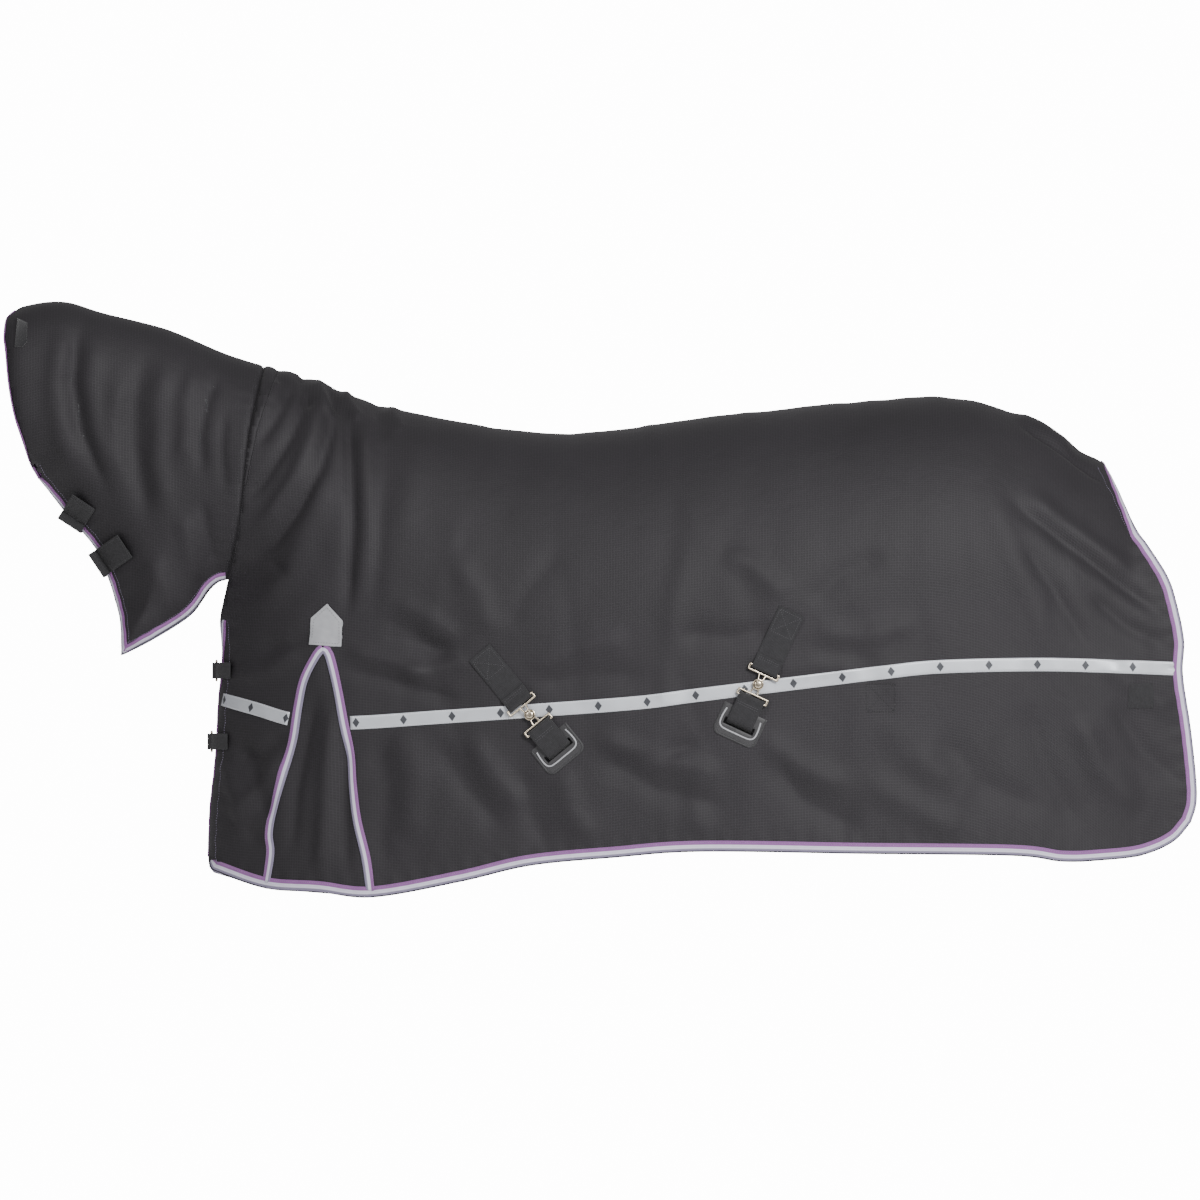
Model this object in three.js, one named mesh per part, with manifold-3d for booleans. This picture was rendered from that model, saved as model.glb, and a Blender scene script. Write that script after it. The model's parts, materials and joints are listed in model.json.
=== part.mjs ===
// Turnout rug with a fixed full neck, for a horse. Millimetres, +Z up, +X towards the tail.
// The horse's left side faces -Y. The origin is where the lining rests on the lowest point of the back.
import * as THREE from "three";
import { mergeVertices } from "three/addons/utils/BufferGeometryUtils.js";
import Module from "manifold-3d";

const wasm = await Module();
wasm.setup();

// Overall sizes. The pattern below is drafted at these sizes and is stretched with them.
const PATTERN = { length: 2213, height: 1105, width: 660 };
const LENGTH = 2213; // poll to rear edge
const HEIGHT = 1105; // poll to hem
const WIDTH = 660; // across the barrel

// Cloth
const OUTER = 1.5; // ripstop outer
const FILL = 6; // wadding
const LINING = 1.2; // taffeta lining
const GAP = 0.3; // clearance between pieces that touch
const PLY_GAP = 0.5; // clearance between the cloth's layers
const TRIM = 0.8; // thickness of tape, patches and binding
const BINDING_WIDTH = 20;
const EDGE_ROOM = TRIM + GAP; // the cloth ends this far inside its bound edge
const NECK_HEM_BACK = 4; // the neck lining stops this far from the neck seam
const BODY_HEM_BACK = 12; // the body's fill and lining stop this far from it
const TAPE_WIDTH = 25; // reflective tape
const GUSSET_BINDING_WIDTH = 17;
const FACE_BINDING_WIDTH = 9; // the face opening's binding is narrower
const SIDE_SPAN = 900; // cutting blocks reach this far out over the left side
const ABOVE = 400; // and this far over the spine
const BELOW = -1000; // and under the hem
const BEYOND = 2000; // and behind the tail
const OVERRUN = -30; // how far a cut runs on past a seam

// Webbing and metal
const WEBBING_WIDTH = 51;
const WEBBING = 2.2; // thickness
const CHEST_WEBBING_WIDTH = 30;
const WIRE = 2.1; // radius of the clips' bars
const BAR_HEIGHT = 8.5; // of the clip bars' axes over the outer
const CLIP_SPAN = 20.5; // from a clip half's bar to the button
const BUTTON_RADIUS = 7;
const RING_RADIUS = 10.5;
const SLOT_WIDTH = WEBBING_WIDTH + 9;
const SLOT_HEIGHT = 13;
const TAIL_FLAP_WIDTH = 190;
const RING_WIRE = 2; // radius of the leg strap rings' wire

const stretch = (x, z) => [(x * LENGTH) / PATTERN.length, (z * HEIGHT) / PATTERN.height];
const place = (points) => points.map(([x, z]) => stretch(x, z));

// The pattern in side view: each seam and edge as points [x, z].
const TOP = place([
  [-1060, 203], [-1028, 219], [-1000, 236], [-925, 245], [-851, 224], [-731, 193], [-620, 147], [-551, 126],
  [-481, 109], [-388, 69], [-324, 50], [-240, 31], [-166, 18], [-74, 4], [0, 0], [111, 7], [259, 28],
  [407, 44], [555, 59], [666, 67], [740, 63], [814, 48], [892, 18], [934, -6], [975, -35], [1014, -57], [1060, -95],
]);
const FACE = place([
  [-1012, 231], [-1030, 214], [-1034, 180], [-1030, 145], [-1024, 85], [-1012, 24], [-988, -50],
  [-971, -85],
]);
const THROAT = place([
  [-971, -85], [-925, -142], [-860, -222], [-842, -268], [-828, -312], [-818, -357], [-816, -413],
]);
const NECK_HEM = place([
  [-816, -413], [-758, -383], [-690, -339], [-655, -294], [-636, -277], [-618, -274],
]);
const SEAM = place([[-618, -274], [-614, -250], [-600, -182], [-590, -100], [-577, 4], [-551, 126]]);
const CHEST = place([
  [-618, -274], [-624, -305], [-632, -348], [-629, -420], [-636, -500], [-642, -607], [-652, -699],
  [-655, -788], [-646, -812],
]);
const HEM = place([
  [-646, -812], [-549, -844], [-448, -851], [-346, -860], [-185, -831], [-55, -801], [100, -786], [259, -775], [555, -779],
  [836, -783], [929, -794], [1000, -792], [1077, -783], [1136, -758], [1169, -722],
]);
const REAR = place([
  [1169, -722], [1180, -673], [1170, -560], [1154, -450], [1156, -385], [1141, -311], [1125, -265],
  [1091, -211], [1066, -174], [1032, -96], [1010, -52],
]);
const GUSSET_LEFT = place([
  [-437.5, -400], [-449, -412], [-473, -457], [-485, -509], [-496, -572], [-516, -644], [-533, -705],
  [-539, -745], [-536, -781], [-546, -831], [-550, -900],
]);
const GUSSET_RIGHT = place([
  [-349, -900], [-350, -849], [-359, -788], [-376, -716], [-384, -655], [-388, -598], [-398, -542],
  [-411, -475], [-426, -412], [-437.5, -400],
]);
const GUSSET_PATCH = place([[-464, -393], [-404, -397], [-402, -349], [-430, -318], [-460, -344]]);
const TAPE_LINE = place([
  [-660, -497], [-619, -498], [-490, -533], [-392, -538], [-222, -527], [-20, -513], [148, -500],
  [241, -488], [420, -466], [592, -445], [703, -434], [888, -430], [1040, -434], [1190, -441],
]);
const SEAM_STRIP = place([[-549, 127], [-575, 4], [-588, -98], [-583, -98], [-562, 4], [-525, 119]]);
const POLL_PAD = place([
  [-1024, 214], [-998, 212], [-990, 204], [-990, 168], [-998, 159], [-1024, 159],
]);

// The half width is full at ROUNDING below the top line and is FULL_WIDTH there.
const FULL_WIDTH = smooth([
  [-1040, 112], [-900, 126], [-750, 140], [-620, 168], [-500, 212], [-350, 268], [-150, 305],
  [150, 330], [500, 322], [750, 300], [950, 264], [1100, 226], [1220, 196],
]);
const ROUNDING = smooth([
  [-1040, 120], [-800, 150], [-600, 210], [-400, 320], [-100, 380], [400, 390], [800, 330],
  [1200, 280],
]);
// Towards the throat and chest the side turns in to FRACTION of its width over REACH. ROUND is 1 where it wraps
// round to face forward and 0 where it slants in to an open edge: [x, z, fraction, reach, round].
const TURN_IN = [
  [-985, -70, 0.3, 110, 0], [-925, -142, 0.2, 130, 0], [-860, -222, 0.2, 130, 0], [-828, -312, 0.25, 130, 0],
  [-816, -413, 0.45, 120, 0], [-758, -383, 0.6, 110, 0], [-690, -339, 0.55, 120, 0], [-645, -290, 0.5, 140, 0],
  [-618, -274, 0.48, 170, 0], [-625, -320, 0.42, 180, 0], [-631, -370, 0.28, 190, 0.1], [-629, -420, 0.12, 200, 0.5],
  [-636, -500, 0.03, 250, 1], [-642, -607, 0.03, 250, 1], [-652, -699, 0.03, 250, 1], [-655, -788, 0.03, 250, 1],
];
const FACE_TURN = { depth: 22, reach: 40 }; // the face opening draws in by this much over this length

// Grid lines of the cloth in side view: [top x, bottom x, bottom z, bulge], and the shares of their length.
const STATIONS = [
  [-1052, -1004, -112, -6], [-1000, -968, -138, 0], [-915, -925, -200, 0], [-810, -880, -300, 0],
  [-700, -845, -446, 0], [-620, -742, -402, 0], [-562, -611, -292, 0], [-535, -646, -372, 30],
  [-512, -664, -450, 32], [-485, -672, -560, 22], [-450, -685, -700, 0], [-405, -675, -860, 0], [-345, -540, -890, 0],
  [-255, -390, -895, 0], [-140, -220, -872, 0], [20, 0, -838, 0], [190, 190, -815, 0],
  [370, 400, -814, 0], [540, 610, -818, 0], [690, 800, -826, 0], [820, 980, -838, 14],
  [930, 1150, -832, 42], [1040, 1262, -800, 55],
];
const SHARES = [0, 0.015, 0.055, 0.13, 0.25, 0.4, 0.58, 0.76, 0.9, 0.965, 1];

// A smooth curve through knots [x, y], as a function of x.
function smooth(knots) {
  const slope = knots.map((k, i) => {
    const a = knots[Math.max(i - 1, 0)];
    const b = knots[Math.min(i + 1, knots.length - 1)];
    return (b[1] - a[1]) / (b[0] - a[0]);
  });
  return (x) => {
    let i = 0;
    while (i < knots.length - 2 && x > knots[i + 1][0]) i += 1;
    const width = knots[i + 1][0] - knots[i][0];
    const t = Math.min(Math.max((x - knots[i][0]) / width, 0), 1);
    const rise = knots[i + 1][1] - knots[i][1];
    const a = slope[i] * width - rise;
    const b = rise - slope[i + 1] * width;
    return knots[i][1] + rise * t + t * (1 - t) * (a * (1 - t) + b * t);
  };
}

const TOP_LINE = smooth(TOP);
const FACE_LINE = smooth(FACE.map(([x, z]) => [-z, x]));
const quarterRound = (k) => (1 - (1 - Math.min(Math.max(k, 0), 1)) ** 2.2) ** (1 / 2.2);

// How far the outer of the left side stands from the middle plane at [x, z] of the side view.
function sideWidth(x, z) {
  const px = (x * PATTERN.length) / LENGTH;
  const pz = (z * PATTERN.height) / HEIGHT;
  const below = ((TOP_LINE(x) - z) * PATTERN.height) / HEIGHT;
  const full = FULL_WIDTH(px) * quarterRound(below / ROUNDING(px));
  let weights = 0;
  let fraction = 0;
  let reach = 0;
  let round = 0;
  let nearest = Infinity;
  TURN_IN.forEach(([ex, ez, f, r, wrap], i) => {
    const [nx, nz] = TURN_IN[Math.min(i + 1, TURN_IN.length - 1)];
    const run = (nx - ex) ** 2 + (nz - ez) ** 2 || 1;
    const t = Math.min(Math.max(((px - ex) * (nx - ex) + (pz - ez) * (nz - ez)) / run, 0), 1);
    const away = Math.hypot(px - ex - t * (nx - ex), pz - ez - t * (nz - ez));
    const inside = (nx - ex) * (pz - ez) - (nz - ez) * (px - ex) > 0;
    const tie = Math.abs(away - Math.abs(nearest)) < 1e-6;
    if (tie ? inside : away < Math.abs(nearest)) nearest = inside ? away : -away;
    const w = 1 / ((px - ex) ** 2 + (pz - ez) ** 2 + 400) ** 2;
    weights += w;
    fraction += w * f;
    reach += w * r;
    round += w * wrap;
  });
  fraction /= weights;
  reach /= weights;
  round /= weights;
  const turnedIn = quarterRound(nearest / reach) ** (2.2 / (1 + 1.2 * round));
  const turned = full * (fraction + (1 - fraction) * turnedIn);
  const fromFace = px - (FACE_LINE(-z) * PATTERN.length) / LENGTH;
  const drawn = FACE_TURN.depth * (1 - quarterRound(fromFace / FACE_TURN.reach));
  return (Math.max(turned - drawn, 4) * WIDTH) / PATTERN.width;
}

// The grid of the left outer's face: rows of points from the spine down, with their outward normals.
function clothGrid() {
  const points = STATIONS.map(([topX, bottomX, bottomZ, bulge]) => {
    const [tx] = stretch(topX, 0);
    const [bx, bz] = stretch(bottomX, bottomZ);
    return SHARES.map((share, j) => {
      const x = tx + (bx - tx) * share + bulge * 4 * share * (1 - share);
      const top = TOP_LINE(tx);
      const z = Math.min(top + (bz - top) * share, TOP_LINE(x));
      return new THREE.Vector3(x, j === 0 ? -GAP / 2 : -sideWidth(x, z) - GAP / 2, z);
    });
  });
  // a vertex's normal is the mean of its facets' normals; on the spine it stays in the middle plane
  const normals = points.map((row) => row.map(() => new THREE.Vector3()));
  for (let i = 0; i + 1 < points.length; i += 1)
    for (let j = 0; j + 1 < SHARES.length; j += 1)
      for (const corners of [[[i, j], [i, j + 1], [i + 1, j + 1]], [[i, j], [i + 1, j + 1], [i + 1, j]]]) {
        const [p, q, r] = corners.map(([k, l]) => points[k][l]);
        const facet = q.clone().sub(p).cross(r.clone().sub(p)).normalize();
        corners.forEach(([k, l]) => normals[k][l].add(facet));
      }
  normals.forEach((row) => row.forEach((normal, j) => {
    if (j === 0) normal.setY(0);
    normal.normalize();
  }));
  return { points, normals };
}
const GRID = clothGrid();

// ---- solids ----

function solid(geometry) {
  const bare = geometry.index ? geometry.toNonIndexed() : geometry.clone();
  bare.deleteAttribute("normal");
  bare.deleteAttribute("uv");
  const merged = mergeVertices(bare, 1e-4);
  return new wasm.Manifold(
    new wasm.Mesh({
      numProp: 3,
      vertProperties: new Float32Array(merged.attributes.position.array),
      triVerts: new Uint32Array(merged.index.array),
    }),
  );
}

function geometryOf(made) {
  const mesh = made.getMesh();
  const geometry = new THREE.BufferGeometry();
  geometry.setAttribute("position", new THREE.BufferAttribute(new Float32Array(mesh.vertProperties), 3));
  geometry.setIndex(new THREE.BufferAttribute(new Uint32Array(mesh.triVerts), 1));
  const flat = geometry.toNonIndexed();
  flat.computeVertexNormals();
  return flat;
}

// A closed solid from rows of points: each row is a ring of the section, and the end rings are capped.
function loft(rings) {
  const count = rings[0].length;
  const positions = rings.flat().flatMap((p) => [p.x, p.y, p.z]);
  const index = [];
  for (let i = 0; i + 1 < rings.length; i += 1)
    for (let j = 0; j < count; j += 1) {
      const a = i * count + j;
      const b = i * count + ((j + 1) % count);
      index.push(a, b, a + count, b, b + count, a + count);
    }
  const last = (rings.length - 1) * count;
  for (let j = 1; j + 1 < count; j += 1) {
    index.push(0, j + 1, j);
    index.push(last, last + j, last + j + 1);
  }
  const geometry = new THREE.BufferGeometry();
  geometry.setAttribute("position", new THREE.Float32BufferAttribute(positions, 3));
  geometry.setIndex(index);
  const made = solid(geometry);
  if (made.volume() > 0) return made;
  return solid(turned(geometry));
}

// The same geometry with its faces turned round.
function turned(geometry) {
  const index = geometry.index.array;
  for (let i = 0; i < index.length; i += 3)
    [index[i + 1], index[i + 2]] = [index[i + 2], index[i + 1]];
  return geometry;
}

// The whole left side as one sheet between two heights over the outer's face.
function sheet(low, high) {
  const at = (i, j, height) => GRID.points[i][j].clone().addScaledVector(GRID.normals[i][j], height);
  const rows = GRID.points.length;
  const columns = SHARES.length;
  const positions = [];
  const index = [];
  for (const height of [high, low])
    for (let i = 0; i < rows; i += 1)
      for (let j = 0; j < columns; j += 1) positions.push(...at(i, j, height).toArray());
  const id = (i, j, side) => side * rows * columns + i * columns + j;
  const quad = (a, b, c, d) => index.push(a, b, c, a, c, d);
  for (let i = 0; i + 1 < rows; i += 1)
    for (let j = 0; j + 1 < columns; j += 1) {
      quad(id(i, j, 0), id(i, j + 1, 0), id(i + 1, j + 1, 0), id(i + 1, j, 0));
      quad(id(i, j, 1), id(i + 1, j, 1), id(i + 1, j + 1, 1), id(i, j + 1, 1));
    }
  for (let i = 0; i + 1 < rows; i += 1) {
    quad(id(i, 0, 0), id(i + 1, 0, 0), id(i + 1, 0, 1), id(i, 0, 1));
    quad(id(i + 1, columns - 1, 0), id(i, columns - 1, 0), id(i, columns - 1, 1), id(i + 1, columns - 1, 1));
  }
  for (let j = 0; j + 1 < columns; j += 1) {
    quad(id(0, j + 1, 0), id(0, j, 0), id(0, j, 1), id(0, j + 1, 1));
    quad(id(rows - 1, j, 0), id(rows - 1, j + 1, 0), id(rows - 1, j + 1, 1), id(rows - 1, j, 1));
  }
  const geometry = new THREE.BufferGeometry();
  geometry.setAttribute("position", new THREE.Float32BufferAttribute(positions, 3));
  geometry.setIndex(index);
  const made = solid(geometry);
  return made.volume() > 0 ? made : solid(turned(geometry));
}

// A block over an outline [x, z] of the side view, across the left half.
function block(outline, far = -SIDE_SPAN, near = -GAP / 2) {
  const shape = new THREE.Shape(outline.map(([x, z]) => new THREE.Vector2(x, z)));
  const geometry = new THREE.ExtrudeGeometry(shape, { depth: near - far, bevelEnabled: false });
  geometry.rotateX(Math.PI / 2).translate(0, near, 0);
  return solid(geometry);
}

// An outline moved in by a distance, given for each of its edges.
function inset(outline, distances) {
  const area = outline.reduce((sum, [x, z], i) => {
    const [nx, nz] = outline[(i + 1) % outline.length];
    return sum + x * nz - nx * z;
  }, 0);
  const turn = Math.sign(area);
  const edges = outline.map(([x, z], i) => {
    const [nx, nz] = outline[(i + 1) % outline.length];
    const length = Math.hypot(nx - x, nz - z);
    const d = Array.isArray(distances) ? distances[i] : distances;
    return { dx: (nx - x) / length, dz: (nz - z) / length, d };
  });
  return outline.map(([x, z], i) => {
    const a = edges[(i + outline.length - 1) % outline.length];
    const b = edges[i];
    const cross = a.dx * b.dz - a.dz * b.dx;
    if (Math.abs(cross) < 0.25) {
      const d = (a.d + b.d) / 2;
      const length = Math.hypot(a.dx + b.dx, a.dz + b.dz);
      return [x - (turn * d * (a.dz + b.dz)) / length, z + (turn * d * (a.dx + b.dx)) / length];
    }
    const ax = x - turn * a.d * a.dz;
    const az = z + turn * a.d * a.dx;
    const bx = x - turn * b.d * b.dz;
    const bz = z + turn * b.d * b.dx;
    const t = ((bx - ax) * b.dz - (bz - az) * b.dx) / cross;
    return [ax + a.dx * t, az + a.dz * t];
  });
}

// A band along a line of the side view, as an outline.
function band(line, width) {
  const side = (sign) => line.map(([x, z], i) => {
    const [ax, az] = line[Math.max(i - 1, 0)];
    const [bx, bz] = line[Math.min(i + 1, line.length - 1)];
    const length = Math.hypot(bx - ax, bz - az);
    return [x - (sign * width * (bz - az)) / length / 2, z + (sign * width * (bx - ax)) / length / 2];
  });
  return [...side(1), ...side(-1).reverse()];
}

// ---- the cloth's layers and the outlines they are cut to ----

const STACK = OUTER + FILL + LINING + 2 * PLY_GAP;
const NECK_STACK = OUTER + LINING + PLY_GAP;
const SHEETS = {
  outer: sheet(-OUTER, 0),
  fill: sheet(-OUTER - PLY_GAP - FILL, -OUTER - PLY_GAP),
  lining: sheet(-STACK, -STACK + LINING),
  neckLining: sheet(-NECK_STACK, -NECK_STACK + LINING),
  trim: sheet(GAP, GAP + TRIM),
  bodyWrap: sheet(-STACK - PLY_GAP - TRIM, GAP + TRIM),
  bodyRoom: sheet(-STACK - PLY_GAP, GAP),
  neckWrap: sheet(-NECK_STACK - PLY_GAP - TRIM, GAP + TRIM),
  neckRoom: sheet(-NECK_STACK - PLY_GAP, GAP),
};

// Joins edges end to end. Each edge is [points, inset]; the result keeps one inset for each of its sides.
function outlineOf(edges) {
  const points = [];
  const insets = [];
  edges.forEach(([line, d]) => {
    line.slice(0, -1).forEach((p) => {
      points.push(p);
      insets.push(d);
    });
  });
  return inset(points, insets);
}

const backwards = (line) => [...line].reverse();
const seamTop = SEAM[SEAM.length - 1];
const rearTop = REAR[REAR.length - 1];
const faceTop = FACE[0];

// The body panel, inset by one distance at its bound edges and another at the neck seam.
const bodyOutline = (bound, seam) => outlineOf([
  [backwards(SEAM), seam], [CHEST, bound], [HEM, bound], [REAR, bound],
  [[rearTop, [rearTop[0] - 12, ABOVE]], bound], [[[rearTop[0] - 12, ABOVE], [seamTop[0], ABOVE]], 0],
  [[[seamTop[0], ABOVE], seamTop], seam],
]);
const neckOutline = (bound, face, seam) => outlineOf([
  [SEAM, seam], [[seamTop, [seamTop[0], ABOVE]], seam], [[[seamTop[0], ABOVE], [faceTop[0], ABOVE]], 0],
  [[[faceTop[0], ABOVE], faceTop], face], [FACE, face], [THROAT, bound], [NECK_HEM, bound],
]);

const bodyBlock = block(bodyOutline(EDGE_ROOM, GAP / 2));
const neckBlock = block(neckOutline(EDGE_ROOM, EDGE_ROOM, GAP / 2));
const gussetOutline = [...GUSSET_LEFT, ...GUSSET_RIGHT.slice(0, -1)];
const gussetHole = block(gussetOutline);
const gussetBlock = block(inset(gussetOutline, GAP));
const insideBinding = block(bodyOutline(BINDING_WIDTH + GAP, GAP / 2));
const insideNeckBinding = block(neckOutline(BINDING_WIDTH + GAP, FACE_BINDING_WIDTH + GAP, GAP / 2));

// ---- places on the cloth ----

const bothFaces = new THREE.MeshBasicMaterial({ side: THREE.DoubleSide });
const outerMesh = new THREE.Mesh(geometryOf(SHEETS.outer), bothFaces);
const liningMesh = new THREE.Mesh(geometryOf(SHEETS.lining), bothFaces);

function hit(mesh, from, direction) {
  const ray = new THREE.Raycaster(new THREE.Vector3(...from), new THREE.Vector3(...direction), 0, 4000);
  const found = ray.intersectObject(mesh);
  if (!found.length) throw new Error(`nothing at ${from}`);
  return found[0].point;
}
const onOuter = (x, z) => hit(outerMesh, [x, -1500, z], [0, 1, 0]);
const onLining = (x, z) => hit(liningMesh, [x, 0, z], [0, -1, 0]);
// the front of the chest at a height and a distance from the middle; the edges meet near the middle
const CHEST_LINE = smooth(CHEST.map(([x, z]) => [-z, x]));
const frontMesh = new THREE.Mesh(geometryOf(SHEETS.outer.intersect(bodyBlock)), bothFaces);
function onChest(y, z) {
  const ray = new THREE.Raycaster(new THREE.Vector3(-1500, -Math.abs(y), z), new THREE.Vector3(1, 0, 0));
  const found = ray.intersectObject(frontMesh)[0];
  return new THREE.Vector3(found ? found.point.x : CHEST_LINE(-z), y, z);
}

// A frame on the cloth: along a direction of the side view, across it, and out of the surface.
function frameAt(find, [x, z], [dx, dz], sign) {
  const step = 14;
  const origin = find(x, z);
  const along = find(x + dx * step, z + dz * step).sub(find(x - dx * step, z - dz * step)).normalize();
  const side = find(x - dz * step, z + dx * step).sub(find(x + dz * step, z - dx * step)).normalize();
  const out = new THREE.Vector3().crossVectors(along, side).normalize();
  if (out.y * sign < 0) out.negate();
  const across = new THREE.Vector3().crossVectors(out, along).normalize();
  return { origin, along, across, out };
}

const vector = (frame, a, c, n) => new THREE.Vector3()
  .addScaledVector(frame.along, a).addScaledVector(frame.across, c).addScaledVector(frame.out, n);
const point = (frame, a, c, n) => vector(frame, a, c, n).add(frame.origin);

// How high the cloth stands in a frame at a point along it, over a strap's half width.
function heightIn(frame, mesh, a, half) {
  return Math.max(...[-1, 0, 1].map((c) => {
    const from = point(frame, a, c * half, 150);
    const found = hit(mesh, from.toArray(), frame.out.clone().negate().toArray());
    return found.sub(frame.origin).dot(frame.out);
  }));
}

// A flat strap through points, each with the direction of its width.
function ribbon(points, widths, width, thickness) {
  const rings = points.map((p, i) => {
    const before = points[Math.max(i - 1, 0)];
    const after = points[Math.min(i + 1, points.length - 1)];
    const tangent = after.clone().sub(before).normalize();
    const across = widths[i].clone().addScaledVector(tangent, -widths[i].dot(tangent)).normalize();
    const flat = new THREE.Vector3().crossVectors(tangent, across).normalize();
    return [[-1, -1], [1, -1], [1, 1], [-1, 1]].map(([c, n]) =>
      p.clone().addScaledVector(across, (c * width) / 2).addScaledVector(flat, (n * thickness) / 2));
  });
  return loft(rings);
}

// A strap in a frame's lengthwise section, through [along, height] points.
function strap(frame, section, width, thickness) {
  const points = section.map(([a, n]) => point(frame, a, 0, n));
  return ribbon(points, section.map(() => frame.across), width, thickness);
}

function rod(a, b, radius, sides = 8) {
  const geometry = new THREE.CylinderGeometry(radius, radius, a.distanceTo(b), sides);
  const direction = b.clone().sub(a).normalize();
  const turn = new THREE.Quaternion().setFromUnitVectors(new THREE.Vector3(0, 1, 0), direction);
  geometry.applyQuaternion(turn).translate(...a.clone().add(b).divideScalar(2).toArray());
  return solid(geometry);
}

const join = (pieces) => pieces.reduce((sum, piece) => sum.add(piece));

// A box in a frame between two corners given as [along, across, out].
function slab(frame, low, high) {
  const size = high.map((v, i) => v - low[i]);
  const geometry = new THREE.BoxGeometry(...size);
  geometry.translate(...low.map((v, i) => v + size[i] / 2));
  geometry.applyMatrix4(new THREE.Matrix4().makeBasis(frame.along, frame.across, frame.out));
  geometry.translate(...frame.origin.toArray());
  return solid(geometry);
}

// ---- materials ----

function finish(color, roughness, metalness) {
  return new THREE.MeshStandardMaterial({ color, roughness, metalness });
}
const RIPSTOP = finish(0x39383b, 0.72, 0);
const WADDING = finish(0xdad9d4, 0.95, 0);
const TAFFETA = finish(0x141316, 0.35, 0);
const BRAID = finish(0xb9aecb, 0.8, 0);
const REFLECTIVE = finish(0xc8cbd2, 0.35, 0.2);
const PATCH = finish(0x86878a, 0.6, 0);
const RUBBER = finish(0x45484d, 0.6, 0);
const WEB = finish(0x242425, 0.85, 0);
const NICKEL = finish(0xc9bda6, 0.25, 1);

const rug = new THREE.Group();
rug.position.z = STACK;

function add(name, made, material, mirrored = false) {
  const mesh = new THREE.Mesh(geometryOf(made), material);
  mesh.name = name;
  if (mirrored) mesh.scale.y = -1;
  rug.add(mesh);
}

function addPair(name, made, material) {
  add(`${name}_left`, made, material);
  add(`${name}_right`, made, material, true);
}

// ---- surcingle clasps on the left side ----

// Lengths along a clasp, from the sewn end of its upper webbing.
const TAB_LENGTH = 121; // to the bar inside the webbing's loop
const CLIP_ARM = 9; // from that bar to the clip's front bar
const BUTTON_AT = TAB_LENGTH + CLIP_ARM + CLIP_SPAN;
const LOWER_BAR_AT = BUTTON_AT + CLIP_SPAN + CLIP_ARM;
const PATCH_START = LOWER_BAR_AT + 24;
const PATCH_LENGTH = 61;
const PATCH_WIDTH = 86;
const SLOT_AT = PATCH_START + 31;
const SLOT_CUT = 60; // the slot's cut goes this far to each side of the cloth
const LOOP = WIRE + 3 * GAP + WEBBING / 2; // radius of the webbing's middle round a bar
const CLASPS = [
  {
    name: "front",
    sewn: stretch(-150, -406),
    direction: [0.632, -0.775],
    belly: [[40, -262, -655], [95, -150, -715], [165, 0, -742], [240, 150, -715], [300, 255, -640]],
    end: [330, -520],
  },
  {
    name: "rear",
    sewn: stretch(429, -330),
    direction: [-0.42, -0.9075],
    belly: [[290, -262, -655], [235, -150, -703], [165, 0, -726], [80, 150, -703], [20, 255, -640]],
    end: [-10, -520],
  },
];

function clipHalf(frame, bar, toButton, centre) {
  const side = WEBBING_WIDTH / 2 + 3 * GAP + WIRE;
  const front = bar + toButton * CLIP_ARM;
  const at = (a, c, n = BAR_HEIGHT) => point(frame, a, c, n);
  const stemEnd = front + toButton * (CLIP_SPAN - centre.reach);
  return join([
    rod(at(bar, -side - WIRE), at(bar, side + WIRE), WIRE),
    rod(at(front, -side - WIRE), at(front, side + WIRE), WIRE),
    rod(at(bar, -side), at(front, -side), WIRE),
    rod(at(bar, side), at(front, side), WIRE),
    rod(at(front, -6), at(stemEnd, -4, BAR_HEIGHT + centre.rise), 1.6, 6),
    rod(at(front, 6), at(stemEnd, 4, BAR_HEIGHT + centre.rise), 1.6, 6),
    ...centre.pieces(at),
  ]);
}

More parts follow.
